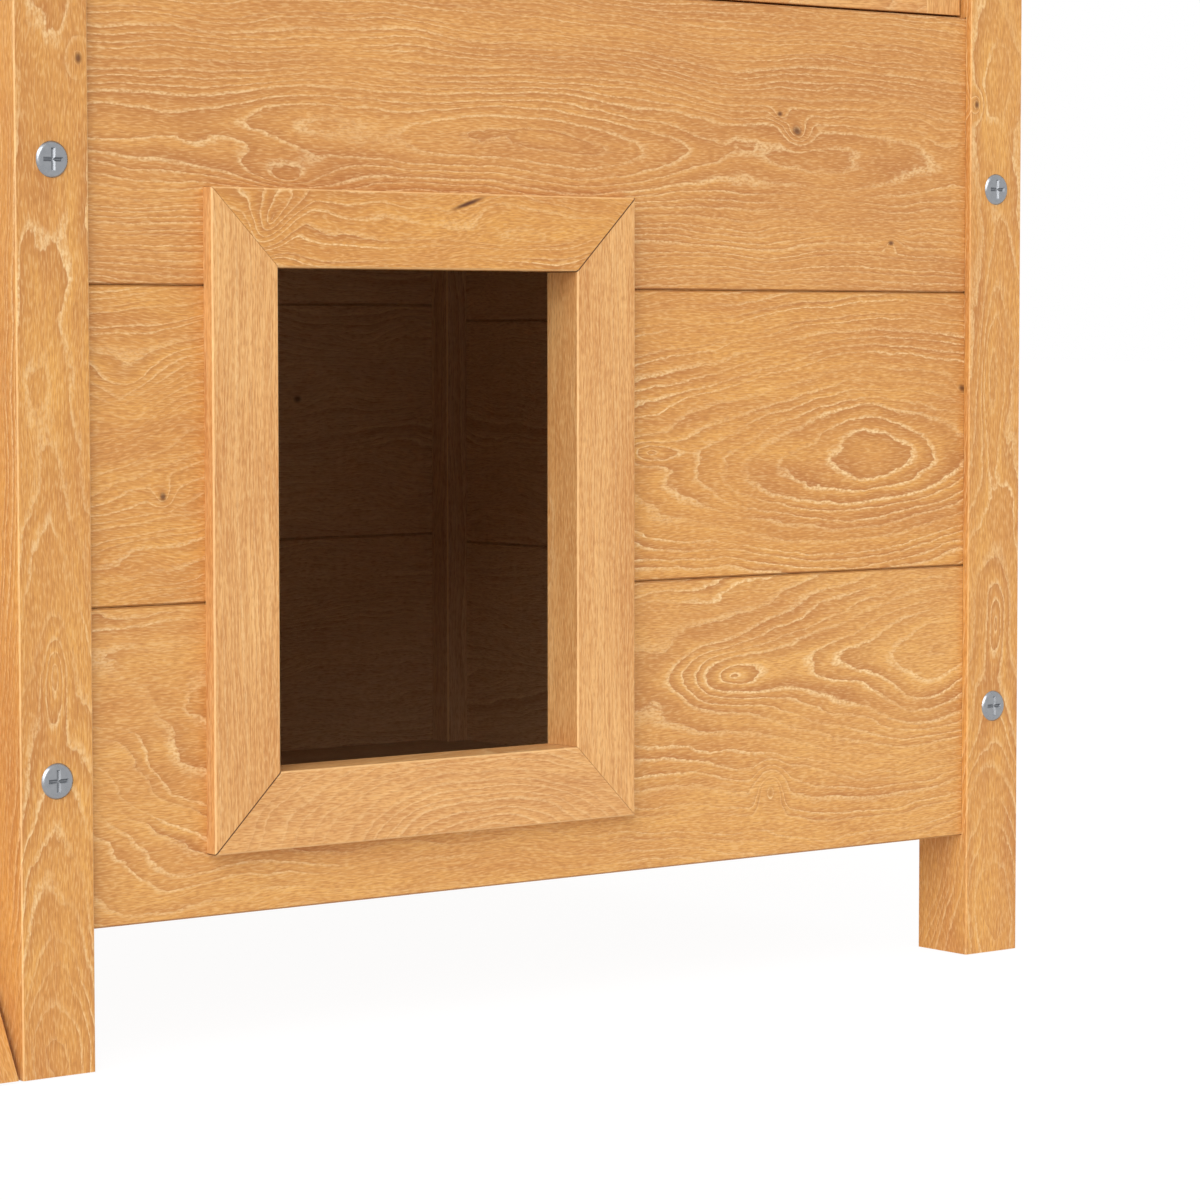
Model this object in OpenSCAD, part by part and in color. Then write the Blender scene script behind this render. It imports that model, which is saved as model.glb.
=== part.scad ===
// Two-storey outdoor cat house with a framed ground-floor doorway, a landing and a ramp.
// The doorway wall faces -Y, the landing and ramp stand on the -X side, and +Z is up.
// The origin is on the ground, below the middle of the whole object.

/* [House] */
// Width across the front posts
house_w = 510; // [480:5:560]
// Depth from the front posts to the back posts
house_d = 418; // [400:2:460]
// Side of the square corner posts
post = 31; // [29:1:36]
// Height of the feet below the lowest boards
foot_h = 53; // [40:1:70]
// Width of the small chamfer on the posts' edges
post_edge = 0.5; // [0.3:0.1:1.5]

/* [Wall boards] */
// Height of one board
board_h = 120; // [110:1:130]
// Height of one side board
side_board_h = 114.5; // [112:0.5:124]
// Height of one back board
back_board_h = 118.5; // [112:0.5:124]
// Thickness of a board
board_t = 14; // [12:0.5:15]
// Distance of the front and back boards behind the posts' faces
recess = 3.5; // [2:0.5:5]
// Distance of the side boards behind the posts' faces
side_recess = 4.5; // [4:0.5:6]
// Depth of the posts' grooves that hold the board ends
groove_d = 6; // [4:0.5:7]
// Height of the tongue on a board's upper edge
tongue_h = 4; // [3:0.5:6]
// Thickness of the tongue
tongue_t = 4.5; // [3:0.5:6]
// Width of the chamfer along a board's outer edges
board_edge = 0.7; // [0.3:0.1:1.5]
// Clearance on each side of a tongue or a board end
wood_fit = 0.15; // [0.1:0.05:0.3]
// Open joint between one board and the next
board_gap = 0.2; // [0.1:0.05:0.5]

/* [Ground-floor doorway] */
// Clear width of the doorway
door_w = 145; // [120:1:165]
// Clear height of the doorway
door_h = 193; // [170:1:205]
// Distance from the left post to the doorway
door_left = 82; // [60:1:120]
// Height of the doorway's sill above the boards' lower edge
door_sill = 54; // [45:1:65]

/* [Casings] */
// Width of the casing round a doorway
casing_w = 30; // [20:1:34]
// Thickness of the casing in front of the boards
casing_t = 6; // [4:0.5:8]
// Thickness of the casing's lining inside the wall
lining_t = 8; // [6:0.5:10]
// Width of the chamfer on the casing's edges
casing_edge = 0.6; // [0.3:0.1:1.5]
// Half of the open joint at a casing's mitres
mitre_gap = 0.12; // [0.05:0.01:0.3]

/* [Upper entry] */
// Clear width of the upper entry
entry_w = 130; // [110:1:135]
// Clear height of the upper entry
entry_h = 165; // [140:1:175]
// Height of the entry casing's lower edge above the landing
entry_lift = 1; // [0.5:0.5:5]
// Distance from the back post to the entry's casing
entry_gap = 1; // [0.5:0.5:10]

/* [Floors] */
// Thickness of a floor panel
floor_t = 5; // [4:0.5:9]
// Height of the strips below the lower floor
lower_cleat_h = 6; // [5:0.5:12]
// Height of the strips below the upper floor
upper_cleat_h = 12; // [8:1:20]
// Width of the strips below a floor
cleat_w = 14; // [10:1:20]
// Distance of the upper floor's top below the window opening
upper_floor_drop = 6; // [3:1:20]
// Clearance round a floor panel
floor_fit = 0.5; // [0.3:0.1:2]

/* [Windows] */
// Height of the window opening
window_h = 272; // [240:1:280]
// Width of the frame's uprights and rails
sash_w = 20; // [18:0.5:26]
// Thickness of a window frame
sash_t = 14; // [12:0.5:16]
// Distance of the window's face behind the boards' faces
sash_set = 2.6; // [2:0.1:5]
// Gap round a window
sash_gap = 1; // [0.8:0.1:2]
// Gap between the two windows
meeting_gap = 1.5; // [1:0.1:3]
// Thickness of the clear pane
pane_t = 3; // [2:0.5:4]
// Depth of the frame's groove for the pane
pane_groove = 5; // [4:0.5:7]
// Clearance of the pane in its groove
pane_fit = 0.2; // [0.1:0.05:0.4]
// Width of the chamfer on the frame's edges
sash_edge = 0.4; // [0.2:0.1:1]
// Diameter of a window's knob
knob_d = 17; // [14:1:19]
// Distance that a knob stands out
knob_h = 16; // [12:1:20]
// Diameter of a knob's dowel
dowel_d = 6; // [4:0.5:7]

/* [Head rail and turn button] */
// Height of the head rail above the windows at the front
head_h = 35; // [30:1:45]
// Height of the stop behind the windows' upper edge
stop_h = 8; // [5:1:12]
// Thickness of the stop
stop_t = 7.5; // [5:0.5:12]
// Length of the turn button from its pivot to its far end
button_reach = 32; // [28:1:40]
// Width of the turn button
button_w = 15; // [12:1:18]
// Thickness of the turn button
button_t = 4; // [3:0.5:6]
// Height of the button's pivot above the window opening
button_z = 14; // [11:1:16]

/* [Hinges] */
// Length of a hinge
hinge_l = 30; // [24:1:31]
// Radius of a hinge's knuckle
knuckle_r = 2.5; // [2:0.1:3.2]
// Radius of a hinge's pin
pin_r = 1.2; // [0.8:0.1:1.4]
// Radial clearance between a pin and the turning knuckle
pin_fit = 0.05; // [0.03:0.01:0.1]
// Thickness of a hinge plate
plate_t = 1; // [0.8:0.1:1.2]
// Width of a hinge plate from the pin
plate_w = 17; // [12:1:20]
// Width of the window hinges' plates from the pin
sash_plate_w = 13; // [10:1:15]
// Gap between neighbouring knuckles
knuckle_gap = 0.3; // [0.2:0.05:0.6]
// Distance of the window hinges from a window's ends
sash_hinge_in = 45; // [35:1:70]

/* [Roof] */
// Slope of the roof, falling to the back, in degrees
roof_slope = 8.5; // [6:0.5:9]
// Thickness of the roof panel
roof_t = 9; // [7:0.5:14]
// Overhang of the roof panel past the posts
overhang = 30; // [28:1:45]
// Width of the strips below the roof panel's edges
rim_w = 15; // [10:1:18]
// Height of the strips below the roof panel's edges
rim_h = 20; // [14:1:26]
// Distance of the strips from the panel's edge
rim_in = 4; // [2:1:8]
// Gap between the walls' upper ends and the roof panel
roof_gap = 0.5; // [0.3:0.1:2]
// Number of shingle courses
course_count = 5; // [4:1:8]
// Thickness of the shingle covering at a course's lower edge
shingle_t = 4.5; // [3.5:0.5:7]
// Thickness of the covering at a course's upper edge
shingle_thin = 2; // [1:0.5:3]
// Overhang of the shingles past the roof panel
drip = 4; // [2:1:8]

/* [Roof stay] */
// Distance from the roof's hinge pin to the stay's pivot, and length of the stay arm
stay_l = 95; // [80:1:105]
// Angle from the roof panel down to the stay's slot, in degrees
stay_fall = 13; // [12:0.5:16]
// Width of the stay arm
arm_w = 12; // [10:1:14]
// Thickness of the arm and of the slotted plate
arm_t = 2.5; // [2:0.5:3]
// Width of the flange that holds the slotted plate on the roof panel
flange_w = 12; // [10:1:16]
// Radius of the stay's pivot bolt and sliding pin
stay_pin_r = 2.5; // [2:0.1:3]
// Radial clearance of the pivot bolt and the sliding pin
stay_fit = 0.08; // [0.04:0.01:0.1]
// Opening angle of the roof, in degrees
roof_open = 65; // [50:1:70]

/* [Landing] */
// Width of the landing's walkway and of the ramp's place
walk_w = 130; // [115:1:150]
// Gap between the house's posts and the walkway
walk_gap = 2; // [2:0.5:4]
// Thickness of the landing's slats
slat_t = 12; // [9:1:16]
// Number of slats
slat_count = 3; // [2:1:5]
// Gap between the slats
slat_gap = 3; // [2:0.5:8]
// Side of the landing's square legs and railing posts
leg = 20; // [18:1:26]
// Height of the joists below the slats
joist_h = 20; // [16:1:30]
// Width of the joists
joist_w = 18; // [14:1:18]
// Height of the railing above the landing
rail_h = 110; // [90:1:140]
// Thickness of the railing's upper rail
rail_t = 12; // [9:1:18]
// Side of the square balusters
baluster = 12; // [9:1:16]
// Number of balusters along the side
side_balusters = 3; // [2:1:4]
// Number of balusters at the back
back_balusters = 2; // [1:1:3]

/* [Ramp] */
// Slope of the ramp, in degrees
ramp_slope = 61; // [60:0.5:63]
// Distance of the ramp's lower end in front of the posts
ramp_front = 1; // [0:0.5:5]
// Thickness of the ramp board
ramp_t = 12; // [9:1:16]
// Width that the ramp is narrower than the landing's walkway
ramp_less = 2; // [1:0.5:6]
// Gap between the ramp and the landing, and half as much below the ramp's foot
ramp_gap = 1; // [0.6:0.2:2]
// Distance between the ramp's treads
tread_pitch = 52; // [40:1:70]
// Width of a tread
tread_w = 14; // [10:1:20]
// Thickness of a tread
tread_t = 6; // [4:0.5:10]
// Distance of the treads from the ramp's edges
tread_in = 8; // [4:1:20]
// Distance of the ramp's hinges from its edges
ramp_hinge_in = 28; // [22:1:40]

/* [Screws] */
// Diameter of a screw head
head_d = 13.5; // [10:0.5:15]
// Height of a screw head
head_t = 1.1; // [0.8:0.1:2]
// Diameter of a screw's shank
shank_d = 4; // [3:0.5:4.5]
// Length of a screw below its head
screw_l = 44; // [40:1:48]
// Clearance round a shank
shank_fit = 0.05; // [0.03:0.01:0.2]
// Height of the lowest screws above the boards' lower edge
screw_rise = 57; // [50:1:63]
// Distance of the next screws below the windows' sill
screw_drop = 74.7; // [66:0.1:84]

/* [Hidden] */

$fn = 48;
tiny = 0.01;
big = 2000;

touch_gap = 0.05;
seat_gap = 0.2;
metal_gap = 0.3;
stop_gap = 0.5;
tongue_room = 0.6;
washer_t = 1.5;
tenon_rise = 6;
cross_w = 1.5;
button_screw_l = 20;

lower_courses = 3;
storey_z = foot_h + lower_courses * board_h;
clear_w = house_w - 2 * post;
clear_d = house_d - 2 * post;
front_top = storey_z + window_h + head_h;
landing_w = walk_gap + walk_w + leg;
house_x = (landing_w - overhang - drip) / 2;
left_face = house_x - house_w / 2;
front_face = -house_d / 2;

door_x = -clear_w / 2 + door_left + door_w / 2;
door_z = foot_h + door_sill;
entry_x = -clear_d / 2 + entry_gap + casing_w + entry_w / 2;
entry_z = storey_z + entry_lift + casing_w;

back_top = front_top - house_d * tan(roof_slope);
side_courses = ceil((front_top - foot_h) / side_board_h);
back_courses = floor((back_top - foot_h) / back_board_h);
entry_first = floor((entry_z - lining_t - foot_h) / side_board_h);
entry_last = floor((entry_z + entry_h + lining_t - foot_h) / side_board_h);

sash_len = (clear_w - 2 * sash_gap - meeting_gap) / 2;
sash_high = window_h - 2 * sash_gap;
sash_face = recess + sash_set;

plain_set = knuckle_r + metal_gap;
close_set = plate_t + 2 * touch_gap;
seg = (hinge_l - 2 * knuckle_gap) / 3;
roof_pin_y = house_d / 2 + plain_set;
roof_pin_z = roof_z(roof_pin_y) - plain_set / cos(roof_slope);
sash_pin_x = -clear_w / 2 + sash_gap / 2;
sash_pin_y = sash_face - knuckle_r - seat_gap;
stay_angle = roof_slope - stay_fall;
stay_wall_x = house_x + house_w / 2 - side_recess - board_t;
arm_inset = washer_t + arm_t;
bolt_head_in = arm_inset + metal_gap + washer_t;
plate_inset = bolt_head_in + 2 * metal_gap + arm_t;
slot_far = 2 * stay_l;
slot_near = slot_far * cos(roof_open);

ridge_y = front_face - ramp_front + storey_z / tan(ramp_slope);
walk_x = left_face - walk_gap - walk_w;
landing_l = house_d / 2 - ridge_y - ramp_gap / 2;
ramp_pin_y = ridge_y - plain_set * tan(ramp_slope / 2);
ramp_pin_z = storey_z + plain_set;

wood_color = "#DDA15C";
frame_color = "#E6B277";
steel_color = "#8E9196";

// Height of the roof panel's lower face at a given y
function roof_z(y) = front_top - (y + house_d / 2) * tan(roof_slope);

// A wall's own frame: x along the wall, y inwards from the posts' outer faces
module on_wall(side) {
    if (side == "front")
        translate([house_x, -house_d / 2, 0]) children();
    if (side == "back")
        translate([house_x, house_d / 2, 0]) rotate([0, 0, 180]) children();
    if (side == "left")
        translate([house_x - house_w / 2, 0, 0]) rotate([0, 0, -90]) children();
    if (side == "right")
        translate([house_x + house_w / 2, 0, 0]) rotate([0, 0, 90]) children();
}

// Everything above a plane that lies a gap below the roof panel
module roof_space(gap = roof_gap)
    translate([0, front_face, front_top - gap])
        rotate([-roof_slope, 0, 0])
            translate([-big / 2, -big / 2, 0])
                cube([big, big, big / 2]);

module chamfered_square(w, d, c)
    polygon([[c, 0], [w - c, 0], [w, c], [w, d - c], [w - c, d], [c, d], [0, d - c], [0, c]]);

// A bar with chamfered long edges that runs along x, y or z
module bar(size, along, c = post_edge) {
    if (along == "x")
        rotate([90, 0, 90]) linear_extrude(size.x) chamfered_square(size.y, size.z, c);
    if (along == "y")
        mirror([0, 1, 0]) rotate([90, 0, 0]) linear_extrude(size.y) chamfered_square(size.x, size.z, c);
    if (along == "z")
        linear_extrude(size.z) chamfered_square(size.x, size.y, c);
}

// Posts

screw_heights = [
    foot_h + screw_rise,
    storey_z - screw_drop,
    storey_z + board_h / 2,
    storey_z + board_h * 3 / 2];

// A post with its outer corner at the origin and its grooves on its two inner faces
module post_core(wall_top) {
    slot = board_t + 2 * wood_fit;
    difference() {
        linear_extrude(front_top + post)
            chamfered_square(post, post, post_edge);
        translate([post - groove_d, recess - wood_fit, foot_h])
            cube([groove_d + 1, slot, wall_top - foot_h]);
        translate([side_recess - wood_fit, post - groove_d, foot_h])
            cube([slot, groove_d + 1, front_top]);
        for (z = screw_heights)
            translate([post / 2, -1, z])
                rotate([-90, 0, 0]) cylinder(r = shank_d / 2 + shank_fit, h = post + 2);
    }
}

module place_post(sx, sy)
    translate([house_x + sx * house_w / 2, sy * house_d / 2, 0])
        mirror([sx > 0 ? 1 : 0, 0, 0])
            mirror([0, sy > 0 ? 1 : 0, 0])
                children();

module front_post(sx)
    color(wood_color)
    difference() {
        place_post(sx, -1) post_core(storey_z + tiny);
        roof_space();
        on_wall("front") head_rail_tenon(wood_fit);
        on_wall("front") sash_hinge_places(sx) hinge_housing();
    }

module back_post(sx)
    color(wood_color)
    difference() {
        place_post(sx, 1) post_core(front_top);
        roof_space();
    }

// Wall boards

module board_profile(h, tongue, groove) {
    c = board_edge;
    mid = (board_t - tongue_t) / 2;
    difference() {
        union() {
            polygon([[0, c], [c, 0], [board_t - c, 0], [board_t, c],
                [board_t, h - c], [board_t - c, h], [c, h], [0, h - c]]);
            if (tongue)
                translate([mid, h - 1]) square([tongue_t, tongue_h + 1]);
        }
        if (groove)
            translate([mid - wood_fit, -1])
                square([tongue_t + 2 * wood_fit, 1 + tongue_h + tongue_room]);
    }
}

// A board in a wall's frame, with its middle at x = 0 and its lower edge at z
module wall_board(len, back, z, h, tongue, groove)
    translate([-len / 2, back, z])
        rotate([90, 0, 90])
            linear_extrude(len) board_profile(h - board_gap, tongue, groove);

module front_board(course, tongue = true, groove = true)
    wall_board(clear_w + 2 * groove_d - 2 * wood_fit, recess, foot_h + course * board_h,
        board_h, tongue, groove);

// The hole that a doorway with its lining needs in a wall
module doorway_hole(x, z, w, h, back)
    translate([x - w / 2 - lining_t, back - 1, z - lining_t])
        cube([w + 2 * lining_t, board_t + 2, h + 2 * lining_t]);

module front_hole() doorway_hole(door_x, door_z, door_w, door_h, recess);

module front_bottom_board()
    color(wood_color) on_wall("front") difference() {
        front_board(0, groove = false);
        front_hole();
    }

module front_middle_board(right)
    color(wood_color) on_wall("front") intersection() {
        difference() {
            front_board(1);
            front_hole();
        }
        translate([right ? door_x : door_x - big, -1, 0]) cube([big, post, big]);
    }

module front_top_board()
    color(wood_color) on_wall("front") difference() {
        front_board(2, tongue = false);
        front_hole();
    }

// Holes for the screws in the ends of the side boards
module side_bores()
    for (sx = [-1, 1], sy = [-1, 1])
        place_post(sx, sy)
            for (z = screw_heights)
                translate([post / 2, 0, z])
                    rotate([-90, 0, 0]) cylinder(r = shank_d / 2 + shank_fit, h = screw_l + 1);

module side_board(course)
    wall_board(clear_d + 2 * groove_d - 2 * wood_fit, side_recess,
        foot_h + course * side_board_h, side_board_h, course < side_courses - 1, course > 0);

// The highest back board is wide enough to reach the roof
module back_board(course) {
    last = course == back_courses - 1;
    wall_board(clear_w + 2 * groove_d - 2 * wood_fit, recess,
        foot_h + course * back_board_h, back_board_h * (last ? 2 : 1), !last, course > 0);
}

module back_boards()
    color(wood_color) difference() {
        on_wall("back")
            for (course = [0 : back_courses - 1])
                back_board(course);
        roof_space();
    }

module right_boards()
    color(wood_color) difference() {
        on_wall("right")
            for (course = [0 : side_courses - 1])
                side_board(course);
        roof_space();
        side_bores();
        stay_bolt_bore();
    }

module left_boards()
    color(wood_color) difference() {
        on_wall("left")
            for (course = [0 : side_courses - 1])
                if (course < entry_first || course > entry_last)
                    side_board(course);
        roof_space();
        side_bores();
    }

module left_entry_boards()
    color(wood_color) difference() {
        on_wall("left")
            for (course = [entry_first : entry_last])
                side_board(course);
        on_wall("left") doorway_hole(entry_x, entry_z, entry_w, entry_h, side_recess);
        roof_space();
        side_bores();
    }

// Casings

// Section of a casing with its lining, y inwards from the boards and z down from the opening
module casing_profile() {
    c = casing_edge;
    polygon([[c - casing_t, 0], [-casing_t, -c], [-casing_t, c - casing_w],
        [c - casing_t, -casing_w], [0, -casing_w], [0, -lining_t],
        [board_t, -lining_t], [board_t, 0]]);
}

// The casing piece below an opening, mitred at both ends, with the opening's edge at z = 0
module casing_piece(len)
    intersection() {
        translate([-len / 2 - casing_w, 0, 0])
            rotate([90, 0, 90])
                linear_extrude(len + 2 * casing_w) casing_profile();
        translate([0, board_t + 1, 0])
            rotate([90, 0, 0])
                linear_extrude(board_t + casing_t + 2)
                    polygon([[mitre_gap - len / 2, 0], [len / 2 - mitre_gap, 0],
                        [len / 2 + casing_w - mitre_gap, -casing_w],
                        [mitre_gap - len / 2 - casing_w, -casing_w]]);
    }

// One of the four pieces round an opening: turn 0 below, 90 at +x, 180 above, 270 at -x
module casing(x, z, w, h, back, turn)
    color(frame_color)
        translate([x, back, z + h / 2])
            rotate([0, -turn, 0])
                translate([0, 0, (turn % 180 == 0 ? -h : -w) / 2])
                    casing_piece(turn % 180 == 0 ? w : h);

module doorway_trim(turn)
    on_wall("front") casing(door_x, door_z, door_w, door_h, recess, turn);

module entry_trim(turn)
    on_wall("left") casing(entry_x, entry_z, entry_w, entry_h, side_recess, turn);

// Head rail above the windows

module head_rail_tenon(fit)
    for (s = [-1, 1])
        translate([s * clear_w / 2 - groove_d - fit, recess - fit,
                storey_z + window_h + tenon_rise - fit])
            cube([2 * (groove_d + fit), board_t + 2 * fit, head_h - 2 * tenon_rise + 2 * fit]);

module front_head_rail()
    color(wood_color) difference() {
        on_wall("front") {
            stop_y = sash_face + sash_t + stop_gap;
            translate([-clear_w / 2, recess, storey_z + window_h])
                cube([clear_w, stop_y + stop_t - recess, head_h + post]);
            translate([-clear_w / 2, stop_y, storey_z + window_h - stop_h])
                cube([clear_w, stop_t, stop_h + 1]);
            head_rail_tenon(0);
        }
        roof_space();
        on_wall("front") button_place() button_bore(button_screw_l);
    }

// Floors

module floor_panel(top)
    color(wood_color) difference() {
        wx = house_w - 2 * (side_recess + board_t + floor_fit);
        wy = house_d - 2 * (recess + board_t + floor_fit);
        translate([house_x - wx / 2, -wy / 2, top - floor_t]) cube([wx, wy, floor_t]);
        for (sx = [-1, 1], sy = [-1, 1])
            place_post(sx, sy)
                translate([-1, -1, top - floor_t - 1])
                    cube([post + 1 + floor_fit, post + 1 + floor_fit, floor_t + 2]);
    }

lower_floor_top = foot_h + lower_cleat_h + floor_t;
upper_floor_top = storey_z - upper_floor_drop;

module cleats(top, h) {
    for (side = ["front", "back"])
        on_wall(side)
            translate([-clear_w / 2, recess + board_t, top - floor_t - h])
                cube([clear_w, cleat_w, h]);
    side_len = house_d - 2 * (recess + board_t + cleat_w + floor_fit);
    for (side = ["left", "right"])
        on_wall(side)
            translate([-side_len / 2, side_recess + board_t, top - floor_t - h])
                cube([side_len, cleat_w, h]);
}

module floor_cleats()
    color(wood_color) {
        cleats(lower_floor_top, lower_cleat_h);
        cleats(upper_floor_top, upper_cleat_h);
    }

// Screws

// A pan-head screw along +z with its head below z = 0, flat on top with a rounded rim
module pan_screw(len) {
    r = head_d / 2;
    rim = head_t * 0.6;
    cross = head_d * 0.62;
    difference() {
        rotate_extrude()
            polygon(concat([[0, len + shank_d / 2], [0, -head_t]],
                [for (a = [90 : -15 : 0]) [r - rim + rim * cos(a), rim - head_t - rim * sin(a)]],
                [[r, 0], [shank_d / 2, 0], [shank_d / 2, len]]));
        for (turn = [0, 90])
            rotate(turn)
                translate([-cross / 2, -cross_w / 2, -head_t - 1])
                    cube([cross, cross_w, head_t * 0.6 + 1]);
    }
}

module post_screws()
    color(steel_color)
        for (sx = [-1, 1], sy = [-1, 1])
            place_post(sx, sy)
                for (z = screw_heights)
                    translate([post / 2, 0, z])
                        rotate([-90, 0, 0]) pan_screw(screw_l - shank_d / 2);

// Hinges: the pin along z, the fixed plate towards +y with its wood at x below -set

module knuckle(low, high)
    translate([0, 0, low]) cylinder(r = knuckle_r, h = high - low);

module hinge_plate(set, wide)
    translate([-set, 0, -hinge_l / 2])
        cube([plate_t, wide, hinge_l]);

module plate_notch(set, low, high)
    translate([-set - 1, -knuckle_r - 1, low - knuckle_gap])
        cube([set + knuckle_r + 1, 2 * knuckle_r + 1.5, high - low + 2 * knuckle_gap]);

module pin_hole(fit)
    translate([0, 0, -hinge_l]) cylinder(r = pin_r + fit, h = 2 * hinge_l);

// The leaf with the two outer knuckles
module outer_leaf(set, wide)
    difference() {
        union() {
            difference() {
                hinge_plate(set, wide);
                plate_notch(set, -seg / 2, seg / 2);
            }
            knuckle(-hinge_l / 2, -seg / 2 - knuckle_gap);
            knuckle(seg / 2 + knuckle_gap, hinge_l / 2);
        }
        pin_hole(tiny);
    }

// The leaf with the middle knuckle, turned from the flat hinge by fold degrees
module inner_leaf(set, wide, fold)
    rotate(fold) mirror([0, 1, 0])
        difference() {
            union() {
                difference() {
                    hinge_plate(set, wide);
                    plate_notch(set, -hinge_l / 2, -seg / 2 - knuckle_gap);
                    plate_notch(set, seg / 2 + knuckle_gap, hinge_l / 2);
                }
                knuckle(-seg / 2, seg / 2);
            }
            pin_hole(pin_fit);
        }

module hinge_pin()
    translate([0, 0, -hinge_l / 2 - 0.5])
        cylinder(r = pin_r, h = hinge_l + 1);

// Room for a window hinge in a post: the plate's seat and the knuckle's housing
module hinge_housing() {
    translate([-close_set - touch_gap, 0, -hinge_l / 2 - seat_gap])
        cube([close_set + 1, sash_plate_w + seat_gap, hinge_l + 2 * seat_gap]);
    translate([-knuckle_r - 2 * seat_gap, -post, -hinge_l / 2 - 4 * seat_gap])
        cube([knuckle_r + 2, post + knuckle_r + metal_gap, hinge_l + 8 * seat_gap]);
}

module hinge_seat()
    translate([-1, 0, -hinge_l / 2 - seat_gap])
        cube([close_set + 1 + touch_gap, sash_plate_w + seat_gap, hinge_l + 2 * seat_gap]);

// Both hinges of a window, in the front wall's frame: sx -1 for the left window
module sash_hinge_places(sx)
    for (z = [storey_z + sash_gap + sash_hinge_in,
            storey_z + sash_gap + sash_high - sash_hinge_in])
        translate([-sx * sash_pin_x, sash_pin_y, z])
            rotate([0, sx > 0 ? 180 : 0, 0])
                children();

module roof_hinge_places()
    for (s = [-1, 1])
        translate([house_x + s * (house_w - post) / 2, roof_pin_y, roof_pin_z])
            rotate([-90, 0, 0]) rotate([0, -90, 0])
                children();

module ramp_hinge_places()
    for (x = [walk_x + ramp_less + ramp_hinge_in, walk_x + walk_w - ramp_hinge_in])
        translate([x, ramp_pin_y, ramp_pin_z])
            rotate([0, -90, 0])
                children();

module fixed_hinge_leaves()
    color(steel_color) {
        on_wall("front")
            for (sx = [-1, 1])
                sash_hinge_places(sx) outer_leaf(close_set, sash_plate_w);
        roof_hinge_places() outer_leaf(plain_set, plate_w);
        ramp_hinge_places() outer_leaf(plain_set, plate_w);
    }

module hinge_pins()
    color(steel_color) {
        on_wall("front")
            for (sx = [-1, 1])
                sash_hinge_places(sx) hinge_pin();
        roof_hinge_places() hinge_pin();
        ramp_hinge_places() hinge_pin();
    }

module window_hinge_leaves(sx)
    color(steel_color) on_wall("front")
        sash_hinge_places(sx) inner_leaf(close_set, sash_plate_w, 180);

module roof_hinge_leaves()
    color(steel_color) roof_hinge_places() inner_leaf(plain_set, plate_w, 90 + roof_slope);

module ramp_hinge_leaves()
    color(steel_color) ramp_hinge_places() inner_leaf(plain_set, plate_w, -ramp_slope);

// Windows: x from the hinge side, y inwards, z up, from the lower hinge corner

module place_sash(sx)
    on_wall("front")
        mirror([sx > 0 ? 1 : 0, 0, 0])
            translate([-clear_w / 2 + sash_gap, sash_face, storey_z + sash_gap])
                children();

module pane_slot(x, z, w, h)
    translate([x, (sash_t - pane_t) / 2 - pane_fit, z])
        cube([w, pane_t + 2 * pane_fit, h]);

module stile(hinged)
    difference() {
        linear_extrude(sash_high) chamfered_square(sash_w, sash_t, sash_edge);
        pane_slot(hinged ? sash_w - pane_groove : -1, -1, pane_groove + 1, sash_high + 2);
    }

module window_hinge_stile(sx)
    color(frame_color) difference() {
        place_sash(sx) stile(true);
        on_wall("front") sash_hinge_places(sx) hinge_seat();
    }

module knob_place()
    translate([sash_len - sash_w / 2, 0, sash_high / 2]) rotate([90, 0, 0]) children();

module window_meeting_stile(sx)
    color(frame_color) place_sash(sx) difference() {
        translate([sash_len - sash_w, 0, 0]) stile(false);
        knob_place() translate([0, 0, -sash_t / 2])
            cylinder(r = dowel_d / 2 + touch_gap, h = sash_t);
    }

// A rail between the uprights, with the pane's groove on one edge and a stub at each end
module sash_rail(upper) {
    len = sash_len - 2 * sash_w;
    stub_h = sash_w - pane_groove - pane_fit;
    difference() {
        translate([sash_w, 0, 0])
            rotate([90, 0, 90])
                linear_extrude(len) chamfered_square(sash_t, sash_w, sash_edge);
        pane_slot(0, upper ? -1 : sash_w - pane_groove, sash_len, pane_groove + 1);
    }
    for (x = [sash_w - pane_groove + pane_fit, sash_w + len - 1])
        translate([x, (sash_t - pane_t) / 2, upper ? sash_w - stub_h : 0])
            cube([pane_groove + 1 - pane_fit, pane_t, stub_h]);
}

module window_bottom_rail(sx)
    color(frame_color) place_sash(sx) sash_rail(false);

module window_top_rail(sx)
    color(frame_color) place_sash(sx) translate([0, 0, sash_high - sash_w]) sash_rail(true);

module window_pane(sx) {
    edge = sash_w - pane_groove + 2 * pane_fit;
    color("#DCE8EC", 0.35) place_sash(sx)
        translate([edge, (sash_t - pane_t) / 2, edge])
            cube([sash_len - 2 * edge, pane_t, sash_high - 2 * edge]);
}

module window_knob(sx)
    color(frame_color) place_sash(sx) knob_place()
        rotate_extrude() {
            r = knob_d / 2;
            neck = knob_d * 0.3;
            polygon(concat([[0, stop_gap - sash_t / 2], [dowel_d / 2, stop_gap - sash_t / 2],
                    [dowel_d / 2, 0], [neck + 1, 0], [neck, knob_h * 0.35]],
                [for (a = [-40 : 10 : 90])
                    [r * cos(a), knob_h * 0.62 + knob_h * 0.38 * sin(a)]]));
        }

// Turn button, at rest beside the windows' meeting line and turned down to hold both

module button_place()
    translate([0, recess, storey_z + window_h + button_z]) rotate([90, 0, 0]) children();

module button_bore(deep)
    translate([0, 0, -deep]) cylinder(r = shank_d / 2 + shank_fit, h = deep + 1);

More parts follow.
